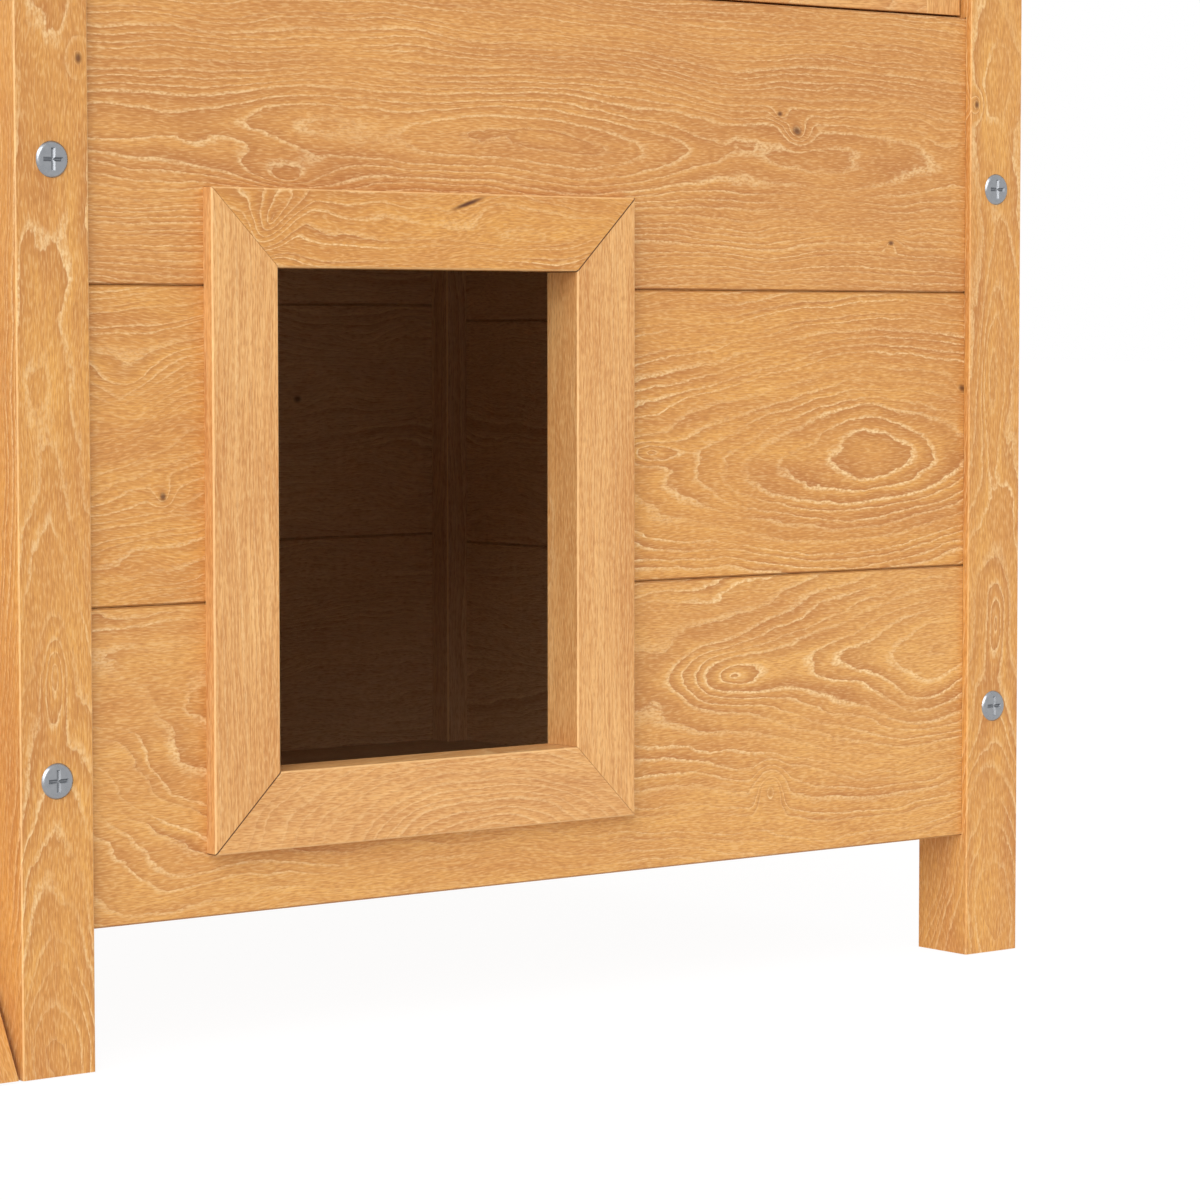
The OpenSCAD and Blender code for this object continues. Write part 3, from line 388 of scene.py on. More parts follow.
def stained_oak(name, rows, start=(0, 0, 0), pitch=(FAR, FAR, FAR), heart=(0, 0, 0), depth=30.0,
                slope=0.2, lean=0.0, reach=FAR, jitter=(0, 0, 0), seed=1.0, ring=3.0, sway=16.0,
                ripple=3.0, lines=1.0, swirls=(), turned=None, stain=HONEY, edge=(0.4, PAINTED_EDGE_HIGHLIGHT),
                room=None, fibres=(11, 0.5, 0.42), mitre=None):
    material, tree, shader = new_material(name)
    place = board_place(tree, rows)
    if turned:
        place = turned_place(tree, place, *turned)
    from_heart, own = cut_from_log(tree, place, start, pitch, heart, jitter, seed)
    bend = slow_bend(tree, own)
    grown = add(tree, VECTOR, {0: bend, 1: (0, sway, sway), 2: from_heart},
                operation="MULTIPLY_ADD")
    radius = heart_distance(tree, grown.outputs[0], own, depth, slope, lean, reach, ripple)
    radius, knots = swirl_round_branches(tree, place, radius, swirls)
    porous, dense, strength = growth_rings(tree, radius, ring)
    pale, dense = ring_lines(tree, own, porous, dense, strength, lines)
    # Fibres follow the bends, but less than the rings do
    swept = add(tree, VECTOR, {0: bend, 1: (0, 0.6 * sway, 0.6 * sway), 2: own},
                operation="MULTIPLY_ADD").outputs[0]
    long, wide, strong = fibres
    fibre, pits, pores = fibres_and_pores(tree, swept, long, wide)

    # Each layer has a mask, the share that it covers at most, and its colour
    layers = []
    if room:
        # The faces inside the house are painted paler: less stain than its weather side, and
        # painted light that lifts their deep shade
        layers.append((inner_faces(tree, *room), 0.55, "#E9CEA9"))
    layers += [(dense, 0.66, "#A05F30"), (fibre, strong, "#B5763E"), (pits, 0.3, "#A4652F"),
               # The edge layer paints the rounded edges: a painted highlight, or painted shade at
               # seams
               (pores, 0.25, "#EFC88E"), (pale, 0.8, "#F3D39E"), (edges(tree), *edge)]
    if knots is not None:
        layers.append((knots, 0.85, "#5E351C"))
    if mitre:
        # Painted shade: a dark line stands for the shadow in a mitre that has opened a little
        layers.append((painted_mitre_shade(tree, mitre), 0.8, "#4A2A14"))
    colour = drifting_stain(tree, swept, stain)
    for mask, amount, paint in layers:
        share = add(tree, MATH, {0: mask, 1: amount}, operation="MULTIPLY")
        colour = add(tree, "ShaderNodeMix", {0: share.outputs[0], 6: colour, 7: linear(paint)},
                     data_type="RGBA").outputs[2]
    tree.links.new(colour, shader.inputs["Base Color"])

    # A satin clear coat: the pores stay a little rougher and lie a little lower
    gloss = add(tree, "ShaderNodeMapRange", {0: pale, 1: 0.0, 2: 1.0, 3: 0.5, 4: 0.62})
    tree.links.new(gloss.outputs[0], shader.inputs["Roughness"])
    shader.inputs["Specular IOR Level"].default_value = 0.3
    relief = add(tree, MATH, {0: pores, 1: -0.5, 2: fibre}, operation="MULTIPLY_ADD")
    relief = add(tree, MATH, {0: pale, 1: -0.6, 2: relief.outputs[0]}, operation="MULTIPLY_ADD")
    bump = add(tree, "ShaderNodeBump", {
        "Height": relief.outputs[0], "Strength": 0.25, "Distance": 0.0002})
    tree.links.new(bump.outputs[0], shader.inputs["Normal"])
    return material


print("stain from", HONEY[0], "to", HONEY[1])


# %% Putting a material on nodes
def dress(material, *names):
    for name in names:
        piece = nodes[name]
        piece.data.materials.clear()
        piece.data.materials.append(material)
    print(material.name, "on", len(names), "nodes")


# %% [markdown]
# The boards of the doorway wall are the ones that everybody looks at. Each gets its own
# slice of the log: the heart comes up near the right end of the middle board, which
# gives it a wide eye, and again lower down in the bottom board. Small swirls with a dark
# core are knots. The rounded edges at the seams are painted darker: the stain that gathers
# there, and painted shade in the grooves.

# %% Doorway wall, two lower courses
# Seam edges: stain that gathers there, and painted shade in the groove
SEAM_STAIN_AND_SHADE = (0.5, "#8A5226")
FRONT = 205  # how far the boards' front faces lie from the model's middle
dress(stained_oak(
    "stained oak, bottom board", ALONG_X, heart=(266, 136, FRONT), depth=12, slope=0.6, lean=-0.05,
    reach=130, seed=3, ring=4.2, sway=18, ripple=4, edge=SEAM_STAIN_AND_SHADE, stain=("#CC9151", "#DFA85F"),
    swirls=(((150, 131, FRONT), (46, 17, 60), 2, -17, 0),
            ((171, 81, FRONT), (13, 17, 60), 0, 18, 0.12),
            ((-170, 100, FRONT), (70, 60, 60), 30, 22, 0))), "front_bottom_board")
dress(stained_oak(
    "stained oak, middle board left", ALONG_X, heart=(-320, 0, FRONT), depth=30, slope=0.05,
    lean=-0.25, seed=5, ring=4.2, sway=30, lines=0.8, edge=SEAM_STAIN_AND_SHADE,
    swirls=(((-131.6, 213.6, FRONT), (8, 9, 30), 0, 8, 1),
            ((-150, 250, FRONT), (40, 26, 60), 20, 18, 0))), "front_middle_board_left")
dress(stained_oak(
    "stained oak, middle board right", ALONG_X, heart=(227, 224, FRONT), depth=16.7, slope=0.5,
    lean=-0.06, reach=150, seed=8, ring=3.6, sway=13, ripple=4, edge=SEAM_STAIN_AND_SHADE,
    swirls=(((282, 251, FRONT), (12, 9, 30), -30, 8, 1),
            ((105, 226, FRONT), (26, 9, 60), 0, -10, 0))), "front_middle_board_right")

# %% Doorway wall, top course
dress(stained_oak(
    "stained oak, top board", ALONG_X, heart=(39, 351, FRONT), depth=7.1, slope=0.17, lean=0.02,
    reach=200, seed=15, ring=2.7, sway=14, ripple=2.5, lines=0.75, edge=SEAM_STAIN_AND_SHADE,
    stain=("#C4884C", "#D79D58"),
    swirls=(((150, 345, FRONT), (75, 40, 60), 0, 5, 0),
            ((-75, 334, FRONT), (50, 12, 60), -4, -9, 0),
            ((184.8, 360.4, FRONT), (14, 10, 30), -20, 9, 1),
            ((175.2, 367.3, FRONT), (8, 6, 30), 0, 5, 1),
            ((239.1, 314, FRONT), (9, 6, 30), 0, 5, 1))), "front_top_board")

# %% [markdown]
# A post is sawn from near the middle of a thin log. Low down its heart comes close to the
# front face, so the rings stand there as nested arches, with a closed loop above the
# lower screw. The back posts' faces inside the house are painted paler: less stain, and
# painted light for their deep shade.

# %% Posts
POST_FRONT = -209
# Middle and half size of the space inside the wall boards' outer faces, above the feet
ROOM = ((0.059, 0.0, 0.453), (0.2492, 0.2042, 0.4))
dress(stained_oak(
    "stained oak, left post", ALONG_Z, heart=(12, -181, POST_FRONT), depth=8, slope=0.55, reach=100,
    seed=21, ring=3.0, sway=14, lines=0.95,
    swirls=(((375.5, -169, POST_FRONT), (12, 8, 30), 0, 8, 1),
            ((150, -181, POST_FRONT), (32, 9, 40), 0, -9, 0))), "front_left_post")
dress(stained_oak(
    "stained oak, right post", ALONG_Z, heart=(18, 299, POST_FRONT), depth=8, slope=0.55, reach=100,
    # Its rounded edges get a weaker painted highlight
    seed=27, ring=3.0, sway=14, lines=0.85, edge=(0.2, "#F3C484"),
    swirls=(((375, 286.6, POST_FRONT), (10, 7, 30), 0, 8, 1),
            ((146, 300, POST_FRONT), (32, 9, 40), 0, -9, 0),
            ((255, 297, POST_FRONT), (60, 10, 40), 0, -8, 0))), "front_right_post")
dress(stained_oak(
    "stained oak, back posts", ALONG_Z, start=(0, -250, -250), pitch=(FAR, 300, 250),
    jitter=(500, 30, 30), slope=0.05, seed=31, sway=9, lines=0.6, edge=(0.7, PAINTED_EDGE_HIGHLIGHT), room=ROOM),
    "back_left_post", "back_right_post")

# %% [markdown]
# The casings round the doorway are straight-grained strips, mitred at the corners. Their
# solids meet in a gap of an eighth of a millimetre, too fine to show, so the material
# paints the shade of an opened mitre as a dark line a little wider. The upper one was cut
# across a branch, which makes the fan of rings at its left end.

# %% Upright casings
LOW_MITRE, HIGH_MITRE = -0.19, -0.238  # metres: x minus z along each mitre
for name, mitre, pieces in (
        ("left casing", LOW_MITRE, ["doorway_trim_left"]),
        ("right casing", HIGH_MITRE, ["doorway_trim_right"]),
        ("entry uprights", None, ["entry_trim_front", "entry_trim_back"])):
    dress(stained_oak(
        f"stained oak, {name}", ALONG_Z, start=(0, -210, -260), pitch=(FAR, 200, 120),
        heart=(0, 60, 20), jitter=(500, 40, 20), slope=0.04, seed=33, ring=1.9, sway=7, ripple=1.5,
        lines=0.35, stain=("#D1975A", "#E5B070"), fibres=(26, 0.8, 0.5), mitre=mitre), *pieces)

# %% Level casings
CASING_FRONT = 211
dress(stained_oak(
    "stained oak, upper casing", ALONG_X, heart=(-20, 240, FRONT), depth=16, slope=0.06, seed=39,
    ring=4.2, sway=36, lines=1.0, stain=("#C98B4A", "#DCA154"), mitre=HIGH_MITRE,
    swirls=(((-86, 318, CASING_FRONT), (30, 14, 60), 50, 20, 0),
            ((7, 326, 211.5), (44, 5, 30), 18, 3, 1.2),
            ((40, 312, CASING_FRONT), (60, 12, 60), 0, 13, 0))), "doorway_trim_top")
dress(stained_oak(
    "stained oak, lower casing", ALONG_X, heart=(17, 66, CASING_FRONT), depth=5, slope=0.45,
    seed=38, ring=3.2, sway=12, lines=0.5, stain=("#D1995E", "#E3AD6C"), mitre=LOW_MITRE),
    "doorway_trim_bottom")
dress(stained_oak(
    "stained oak, entry casings", ALONG_Y, start=(0, 414, 0), pitch=(FAR, 130, FAR),
    heart=(0, -60, -190), jitter=(120, 30, 20), depth=16, slope=0.06, seed=37, ring=3.6, sway=30,
    lines=0.9), "entry_trim_top", "entry_trim_bottom")

# %% [markdown]
# One material serves all boards of a wall, because the pitch tells it where each board
# begins, and each then gets its own part of the log. Seen through the doorway, the inner
# faces lie in deep shade. They are painted paler, partly less stain and partly painted
# light, and their seams are darker with stain and painted shade.

# %% Back wall, side walls and the rail above the windows
# Inner seam edges: some stain, and painted shade in the grooves
INNER_SEAM_STAIN_AND_SHADE = (0.25, "#9A6232")
dress(stained_oak(
    "stained oak, back boards", ALONG_X, start=(0, 53, 0), pitch=(FAR, 118.5, FAR),
    heart=(0, -120, -190), jitter=(700, 60, 30), slope=0.06, seed=41, sway=30, ring=3.4, lines=0.6,
    edge=INNER_SEAM_STAIN_AND_SHADE, room=ROOM, swirls=(((199, 242, -192), (13, 10, 30), 0, 8, 0.9),)),
    "back_boards")
dress(stained_oak(
    "stained oak, side boards", ALONG_Y, start=(0, 53, -1000), pitch=(FAR, 114.5, 500),
    heart=(0, -120, 0), jitter=(700, 60, 30), slope=0.06, seed=43, sway=30, ring=3.4, lines=0.6,
    edge=INNER_SEAM_STAIN_AND_SHADE, room=ROOM), "right_boards", "left_boards", "left_entry_boards")
dress(stained_oak("stained oak, head rail", ALONG_X, heart=(-60, 690, 190), slope=0.12, seed=46,
                  lines=0.7), "front_head_rail")

# %% [markdown]
# The window frames are the palest wood of the front, fine and straight in the grain. The
# knobs are turned from the same stock.

# %% Windows
SIDES = ("left_window", "right_window")
WINDOW_STAIN = ("#D69B5D", "#E8B26D")
dress(stained_oak(
    "stained oak, window uprights", ALONG_Z, start=(0, -200, 0), pitch=(FAR, 129, FAR),
    jitter=(500, 40, 10), slope=0.04, seed=51, ring=2.2, sway=7, ripple=1.5, lines=0.4,
    stain=WINDOW_STAIN, fibres=(26, 0.8, 0.5)),
    *[f"{side}_{name}" for side in SIDES for name in ("hinge_stile", "meeting_stile")])
dress(stained_oak(
    "stained oak, window rails", ALONG_X, start=(-441, 400, 0), pitch=(500, 100, FAR),
    jitter=(100, 20, 10), slope=0.1, seed=53, ring=2.6, sway=8, lines=0.5,
    stain=WINDOW_STAIN, fibres=(26, 0.8, 0.5)),
    *[f"{side}_{name}" for side in SIDES for name in ("top_rail", "bottom_rail")])
dress(stained_oak("stained oak, knobs", ALONG_X, jitter=(0, 5, 5), slope=0.2, seed=55, ring=3.0,
                  sway=3), "left_window_knob", "right_window_knob")

# %% [markdown]
# Thin sticks show long straight lines and little else, so the landing needs only three
# materials: one for its slats, one for all that stands, and one for the rails and joists,
# which run two ways. The ramp's board has its own direction, up its slope.

# %% Landing and floor strips
STICK = {"jitter": (500, 20, 20), "ring": 2.6, "sway": 8, "lines": 0.6}
dress(stained_oak("stained oak, landing slats", FLAT_ALONG_Y, pitch=(FAR, 49, FAR),
                  jitter=(500, 40, 20), slope=0.12, seed=61), "landing_slats")
dress(stained_oak("stained oak, landing uprights", ALONG_Z, start=(0, -360, -5),
                  pitch=(FAR, 30, 30), slope=0.05, seed=63, **STICK),
      "landing_legs", "landing_rail_posts", "landing_balusters")
dress(stained_oak("stained oak, landing rails", ALONG_X, start=(0, 300, -400), pitch=(FAR, 80, 90),
                  slope=0.07, seed=65, turned=(ALONG_Y, 0, 0.328), **STICK),
      "landing_rails", "landing_joists")
dress(stained_oak("stained oak, floor strips", ALONG_Y, start=(0, 0, -400), pitch=(FAR, 40, 250),
                  slope=0.07, seed=67, turned=(ALONG_X, 1, 0.1775), **STICK), "floor_cleats")

# %% Ramp
RAMP_SLOPE = 61  # degrees
rise, run = math.sin(math.radians(RAMP_SLOPE)), math.cos(math.radians(RAMP_SLOPE))
UP_THE_RAMP = ((0, run, rise), (-1, 0, 0), (0, -rise, run))
dress(stained_oak("stained oak, ramp board", UP_THE_RAMP, heart=(250, 262, 130), slope=0.14,
                  seed=71), "ramp_board")
dress(stained_oak("stained oak, ramp treads", ALONG_X, pitch=(FAR, 45.5, FAR), jitter=(500, 30, 20),
                  slope=0.1, seed=73, lines=0.6), "ramp_treads")

# %% Roof strips, roof panel and floors
dress(stained_oak("stained oak, roof's front strip", ALONG_X, heart=(0, 700, 230), slope=0.08,
                  seed=75, lines=0.6), "roof_front_strip")
dress(stained_oak("stained oak, roof's side strips", ALONG_Y, start=(0, 0, -1000),
                  pitch=(FAR, FAR, 500), heart=(0, 690, 0), jitter=(500, 30, 20), slope=0.08,
                  seed=77, lines=0.6), "roof_side_strips")
PEELED = {"jitter": (500, 200, 20), "slope": 0.25, "ring": 5.0, "sway": 40, "lines": 0.5}
dress(stained_oak("plywood, roof panel", FLAT_ALONG_X, seed=81, **PEELED), "roof_panel")
dress(stained_oak("plywood, floors", FLAT_ALONG_X, pitch=(FAR, FAR, 200), seed=83,
                  stain=("#CDAE88", "#DCC19C"), **PEELED), "lower_floor", "upper_floor")

# %% [markdown]
# Zinc-plated steel is a bare metal with a thin bright coat. The coat is slightly patchy,
# so its roughness drifts a little over a few millimetres. Screws are tumbled until they
# shine, while the sheet of hinges and brackets keeps a duller, rolled face.


# %% Zinc-plated steel
def zinc_steel(name, smooth, dull):
    material, tree, shader = new_material(name)
    place = add(tree, "ShaderNodeTexCoord").outputs["Object"]
    # Patches of the coat about 2 mm wide
    coat = add(tree, "ShaderNodeTexNoise", {
        "Vector": place, "Scale": 500.0, "Detail": 3.0}).outputs[0]
    tint = add(tree, "ShaderNodeMix", {0: coat, 6: linear("#8A8D92"), 7: linear("#A4A6A9")},
               data_type="RGBA")
    tree.links.new(tint.outputs[2], shader.inputs["Base Color"])
    rough = add(tree, "ShaderNodeMapRange", {0: coat, 1: 0.3, 2: 0.7, 3: smooth, 4: dull})
    tree.links.new(rough.outputs[0], shader.inputs["Roughness"])
    shader.inputs["Metallic"].default_value = 1.0
    return material


zinc = zinc_steel("zinc-plated steel screws", 0.24, 0.36)
zinc_sheet = zinc_steel("zinc-plated steel sheet", 0.42, 0.58)
dress(zinc, "post_screws", "hinge_pins", "stay_bolt", "button_screw")
dress(zinc_sheet, "fixed_hinge_leaves", "turn_button", "left_window_hinge_leaves",
      "right_window_hinge_leaves", "roof_hinge_leaves", "stay_plate", "stay_arm",
      "ramp_hinge_leaves")

# %% [markdown]
# The windows hold sheets of clear acrylic. It is glossy and lets light through, and fine
# rub marks make its gloss a little uneven.

# %% Clear acrylic
acrylic, tree, shader = new_material("clear acrylic sheet")
place = add(tree, "ShaderNodeTexCoord").outputs["Object"]
rubbed = add(tree, "ShaderNodeTexNoise", {"Vector": place, "Scale": 120.0, "Detail": 4.0})
haze = add(tree, "ShaderNodeMapRange", {0: rubbed.outputs[0], 1: 0.45, 2: 0.8, 3: 0.02, 4: 0.12})
tree.links.new(haze.outputs[0], shader.inputs["Roughness"])
shader.inputs["Base Color"].default_value = linear("#F2F8FA")
shader.inputs["IOR"].default_value = 1.49
shader.inputs["Transmission Weight"].default_value = 1.0
dress(acrylic, "left_window_pane", "right_window_pane")

# %% [markdown]
# The roof is covered with asphalt shingles: felt soaked in bitumen, with crushed stone
# pressed into it. The stone grains are about a millimetre across and differ in shade.
# Each tab comes from another batch of stone, so it carries its own value, "batch".

# %% Mineral-faced asphalt
asphalt, tree, shader = new_material("mineral-faced asphalt shingle")
place = add(tree, "ShaderNodeTexCoord").outputs["Object"]
grains = add(tree, "ShaderNodeTexVoronoi", {"Vector": place, "Scale": 650.0})
shade = add(tree, "ShaderNodeSeparateColor", {0: grains.outputs["Color"]})
clouds = add(tree, "ShaderNodeTexNoise", {"Vector": place, "Scale": 14.0, "Detail": 3.0}).outputs[0]
batch = add(tree, "ShaderNodeAttribute", attribute_name="batch").outputs["Fac"]
clouds = add(tree, MATH, {0: batch, 1: 0.8, 2: clouds}, operation="MULTIPLY_ADD").outputs[0]
mixed = add(tree, MATH, {0: shade.outputs[0], 1: 0.55}, operation="MULTIPLY")
mixed = add(tree, MATH, {0: clouds, 1: 0.33, 2: mixed.outputs[0]}, operation="MULTIPLY_ADD")
stone = add(tree, "ShaderNodeValToRGB", {0: mixed.outputs[0]})
for stop, at, code in zip(stone.color_ramp.elements, (0.1, 1.0), ("#2C2E31", "#85888C")):
    stop.position, stop.color = at, linear(code)
tree.links.new(stone.outputs[0], shader.inputs["Base Color"])
shader.inputs["Roughness"].default_value = 0.9
bump = add(tree, "ShaderNodeBump", {
    "Height": grains.outputs["Distance"], "Strength": 0.5, "Distance": 0.0005})
tree.links.new(bump.outputs[0], shader.inputs["Normal"])
dress(asphalt, "roof_shingles")

# %% [markdown]
# The screws are pan-head screws with a cross recess, and all are alike, so one is modelled
# and copied. A cylinder is a good start for the head: its upper rim is bevelled round, and
# its under side is inset and drawn out to the shank. Two tapered bars then cut the recess.
# Small selections are made in code by their place, because an operator works on whatever
# is selected.

# %% Selecting by place and making copies
dice = Random(4)


def pick(piece, test, kind="FACE"):
    bpy.context.view_layer.objects.active = piece
    bpy.ops.object.mode_set(mode="EDIT")
    bpy.ops.mesh.select_mode(type=kind)
    bpy.ops.mesh.select_all(action="DESELECT")
    bpy.ops.object.mode_set(mode="OBJECT")
    if kind == "FACE":
        for face in piece.data.polygons:
            face.select = test(face.center)
    else:
        for edge in piece.data.edges:
            edge.select = all(test(piece.data.vertices[i].co) for i in edge.vertices)
    bpy.ops.object.mode_set(mode="EDIT")


def spread(pattern, name, places, body, material):
    made = []
    for place in places:
        copy = pattern.copy()
        copy.data = pattern.data.copy()
        copy.data.transform(place)
        batch = copy.data.attributes.new("batch", "FLOAT", "POINT")
        batch.data.foreach_set("value", [dice.random()] * len(copy.data.vertices))
        bpy.context.scene.collection.objects.link(copy)
        made.append(copy)
    bpy.ops.object.select_all(action="DESELECT")
    for copy in made:
        copy.select_set(True)
    bpy.context.view_layer.objects.active = made[0]
    if len(made) > 1:
        bpy.ops.object.join()
    made[0].name = name
    made[0].data.materials.clear()
    made[0].data.materials.append(material)
    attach(made[0], body)
    print(name, "copies:", len(places), "faces:", len(made[0].data.polygons))
    return made[0]


print("helpers for picking and copying ready")


# %% A screw's head and shank
def model_head(radius, height, rim, shank, length):
    tall = 1.05 * rim  # the blank is a little taller than its rim is round
    bpy.ops.object.select_all(action="DESELECT")
    bpy.ops.mesh.primitive_cylinder_add(vertices=40, radius=radius, depth=tall,
                                        location=(0, 0, 0.525 * rim))
    screw = bpy.context.object
    bpy.ops.object.transform_apply(location=True)
    pick(screw, lambda at: at.z > rim, "EDGE")
    bpy.ops.mesh.bevel(offset=rim, segments=3, profile=0.35)
    pick(screw, lambda at: True)
    bpy.ops.transform.resize(value=(1, 1, height / tall), center_override=(0, 0, 0))
    pick(screw, lambda at: at.z < height * 0.01)
    bpy.ops.mesh.inset(thickness=radius - shank)
    bpy.ops.mesh.extrude_region_move(TRANSFORM_OT_translate={"value": (0, 0, -length)})
    bpy.ops.mesh.extrude_region_move(TRANSFORM_OT_translate={"value": (0, 0, -shank)})
    bpy.ops.transform.resize(value=(0.1, 0.1, 1))
    bpy.ops.object.mode_set(mode="OBJECT")
    print("head:", 2000 * radius, "mm wide")
    return screw


# %% One cross-recess screw
# Factors by which a cutting bar's lower and upper faces change in length and in width
NARROW, WIDE = (0.88, 0.1), (1.12, 1.9)


def model_screw(radius, height, rim, shank, length, cross, slot, deep):
    screw = model_head(radius, height, rim, shank, length)
    for lengthwise in (True, False):
        bpy.ops.object.select_all(action="DESELECT")
        bpy.ops.mesh.primitive_cube_add(size=1, location=(0, 0, height))
        cutter = bpy.context.object
        cutter.scale = (cross, slot, 2 * deep) if lengthwise else (slot, cross, 2 * deep)
        bpy.ops.object.transform_apply(location=True, scale=True)
        for (along, across), test in ((NARROW, lambda at: at.z < height - deep / 2),
                                      (WIDE, lambda at: at.z > height + deep / 2)):
            pick(cutter, test)
            bpy.ops.transform.resize(value=(along, across, 1) if lengthwise else (across, along, 1))
        bpy.ops.object.mode_set(mode="OBJECT")
        cut = screw.modifiers.new("recess", "BOOLEAN")
        cut.object = cutter
        bpy.context.view_layer.objects.active = screw
        bpy.ops.object.modifier_apply(modifier=cut.name)
        bpy.data.objects.remove(cutter)
    bpy.ops.object.select_all(action="DESELECT")
    screw.select_set(True)
    bpy.ops.object.shade_smooth_by_angle(angle=math.radians(30))
    print("screw faces:", len(screw.data.polygons))
    return screw


# %% Screws in the posts and on the turn button
SCREW_HEIGHTS = (0.110, 0.3383, 0.473, 0.593)
BUTTON_SCREW = (0.059, -0.2099, 0.699)


def turned(degrees, axis):
    return Matrix.Rotation(math.radians(degrees), 4, axis)


pan_head = model_screw(radius=0.00675, height=0.0011, rim=0.0012, shank=0.0019, length=0.0405,
                       cross=0.0084, slot=0.0017, deep=0.0008)
places = []
for name, sense in (("front_left_post", 90), ("front_right_post", 90),
                    ("back_left_post", -90), ("back_right_post", -90)):
    post_low, post_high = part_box(name)
    face = post_low[1] if sense > 0 else post_high[1]
    middle = (post_low[0] + post_high[0]) / 2
    places += [Matrix.Translation((middle, face, height)) @ turned(sense, "X")
               for height in SCREW_HEIGHTS]
post_screws = spread(pan_head, "post_screws_detailed", places, "house", zinc)
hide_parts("post_screws")
places = [Matrix.Translation(BUTTON_SCREW) @ turned(90, "X")]
button_screw = spread(pan_head, "button_screw_detailed", places, "house", zinc)
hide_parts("button_screw")
bpy.data.objects.remove(pan_head)

# %% [markdown]
# Hinges are fixed with small flat screws, two through each plate. A hinge's own frame has
# its pin along z, so the same two places serve every plate: one call for the plate that
# stays and one for the plate that swings. The window hinges close to a fifth of a
# millimetre, so their screws lie almost flush.

# %% Places of the hinges and of the screws in their plates
ROOF_FALL, RAMP_FOLD = 8.5, -RAMP_SLOPE  # degrees
PLATE_T = 0.001
LOW_AND_HIGH = (-0.0095, 0.0095)  # where the two screws sit along the pin


def plate_places(hinges, set_back, along, fold=None):
    places = []
    for hinge in hinges:
        side = 1 if fold is None else -1
        start = hinge if fold is None else hinge @ turned(fold, "Z")
        places += [start @ Matrix.Translation((PLATE_T - set_back, side * along, z))
                   @ turned(90, "Y") for z in LOW_AND_HIGH]
    return places


roof_hinges = [Matrix.Translation((x, 0.2118, 0.65428)) @ turned(-90, "X") @ turned(-90, "Y")
               for x in (-0.1805, 0.2985)]
ramp_hinges = [Matrix.Translation((x, 0.01728, 0.4158)) @ turned(-90, "Y")
               for x in (-0.298, -0.226)]
left_hinges = [Matrix.Translation((-0.1645, -0.2056, z)) for z in (0.459, 0.639)]
right_hinges = [Matrix.Translation((0.2825, -0.2056, z)) @ turned(180, "Y") for z in (0.459, 0.639)]
print("hinges:", len(roof_hinges + ramp_hinges + left_hinges + right_hinges))

# %% Hinge screws
# How far the back of a plate and its screws lie from the pin
PLAIN, CLOSE = (0.0028, 0.0105), (0.0011, 0.0085)
flat_head = model_screw(radius=0.0024, height=0.0004, rim=0.0003, shank=0.0008, length=0.0005,
                        cross=0.0028, slot=0.0006, deep=0.0004)
flush_head = model_screw(radius=0.0022, height=0.00008, rim=0.0002, shank=0.0008, length=0.0005,
                         cross=0.0026, slot=0.0006, deep=0.0004)
for pattern, name, places, body in (
        (flat_head, "fixed_plate_screws", plate_places(roof_hinges + ramp_hinges, *PLAIN), "house"),
        (flat_head, "roof_plate_screws", plate_places(roof_hinges, *PLAIN, 90 + ROOF_FALL), "roof"),
        (flat_head, "ramp_plate_screws", plate_places(ramp_hinges, *PLAIN, RAMP_FOLD), "ramp"),
        (flush_head, "window_post_screws", plate_places(left_hinges + right_hinges, *CLOSE),
         "house"),
        (flush_head, "left_window_screws", plate_places(left_hinges, *CLOSE, 180), "left_window"),
        (flush_head, "right_window_screws", plate_places(right_hinges, *CLOSE, 180),
         "right_window")):
    spread(pattern, name, places, body, zinc)

# %% Screws of the roof stay's flange
PANEL_Y, PANEL_Z = -0.209, 0.720  # where the roof panel's lower face meets the front plane
FLANGE_X, FLANGE_T = 0.2806, 0.0025
fall = math.radians(ROOF_FALL)
places = [Matrix.Translation((FLANGE_X, y, PANEL_Z - FLANGE_T - (y - PANEL_Y) * math.tan(fall)))
          @ turned(180 - ROOF_FALL, "X") for y in (0.025, 0.075, 0.125)]
spread(flat_head, "stay_flange_screws", places, "roof", zinc)
for pattern in (flat_head, flush_head):
    bpy.data.objects.remove(pattern)

# %% [markdown]
# Asphalt shingles come as strips whose lower half is slit into tabs. Each course covers
# the slits of the one below by half a tab. One tab is modelled: a thin wedge, lowest where
# it slips under the next course, with its free corners rounded. The copies differ by a
# hair in turn and lie on a base sheet, which shows at the bottom of the slits.

# %% One shingle tab
COVER_W, COVER_L = 0.578, 0.486  # the covering's width, and its length seen from above
COURSES, TABS = 5, 9
SLIT, LAP, TAB_T = 0.004, 0.001, 0.0024
CORNER, RIM = 0.003, 0.0005  # radii
on_roof = Matrix.Translation((0.059, PANEL_Y, PANEL_Z)) @ turned(-ROOF_FALL, "X")
course = COVER_L / math.cos(fall) / COURSES
tab_w = COVER_W / TABS
bpy.ops.object.select_all(action="DESELECT")
bpy.ops.mesh.primitive_cube_add(size=1, location=(0, course / 2, TAB_T / 2))
tab = bpy.context.object
tab.scale = (tab_w - SLIT, course - LAP, TAB_T)
bpy.ops.object.transform_apply(location=True, scale=True)
for side in (-1, 1):
    pick(tab, lambda at: at.y > course * 0.9 and at.x * side > 0.02, "EDGE")
    bpy.ops.mesh.bevel(offset=CORNER, segments=3, profile=0.5)
    bpy.ops.object.mode_set(mode="OBJECT")
pick(tab, lambda at: at.z > 0.002, "EDGE")
bpy.ops.mesh.bevel(offset=RIM, segments=2, profile=0.5)
bpy.ops.object.mode_set(mode="OBJECT")
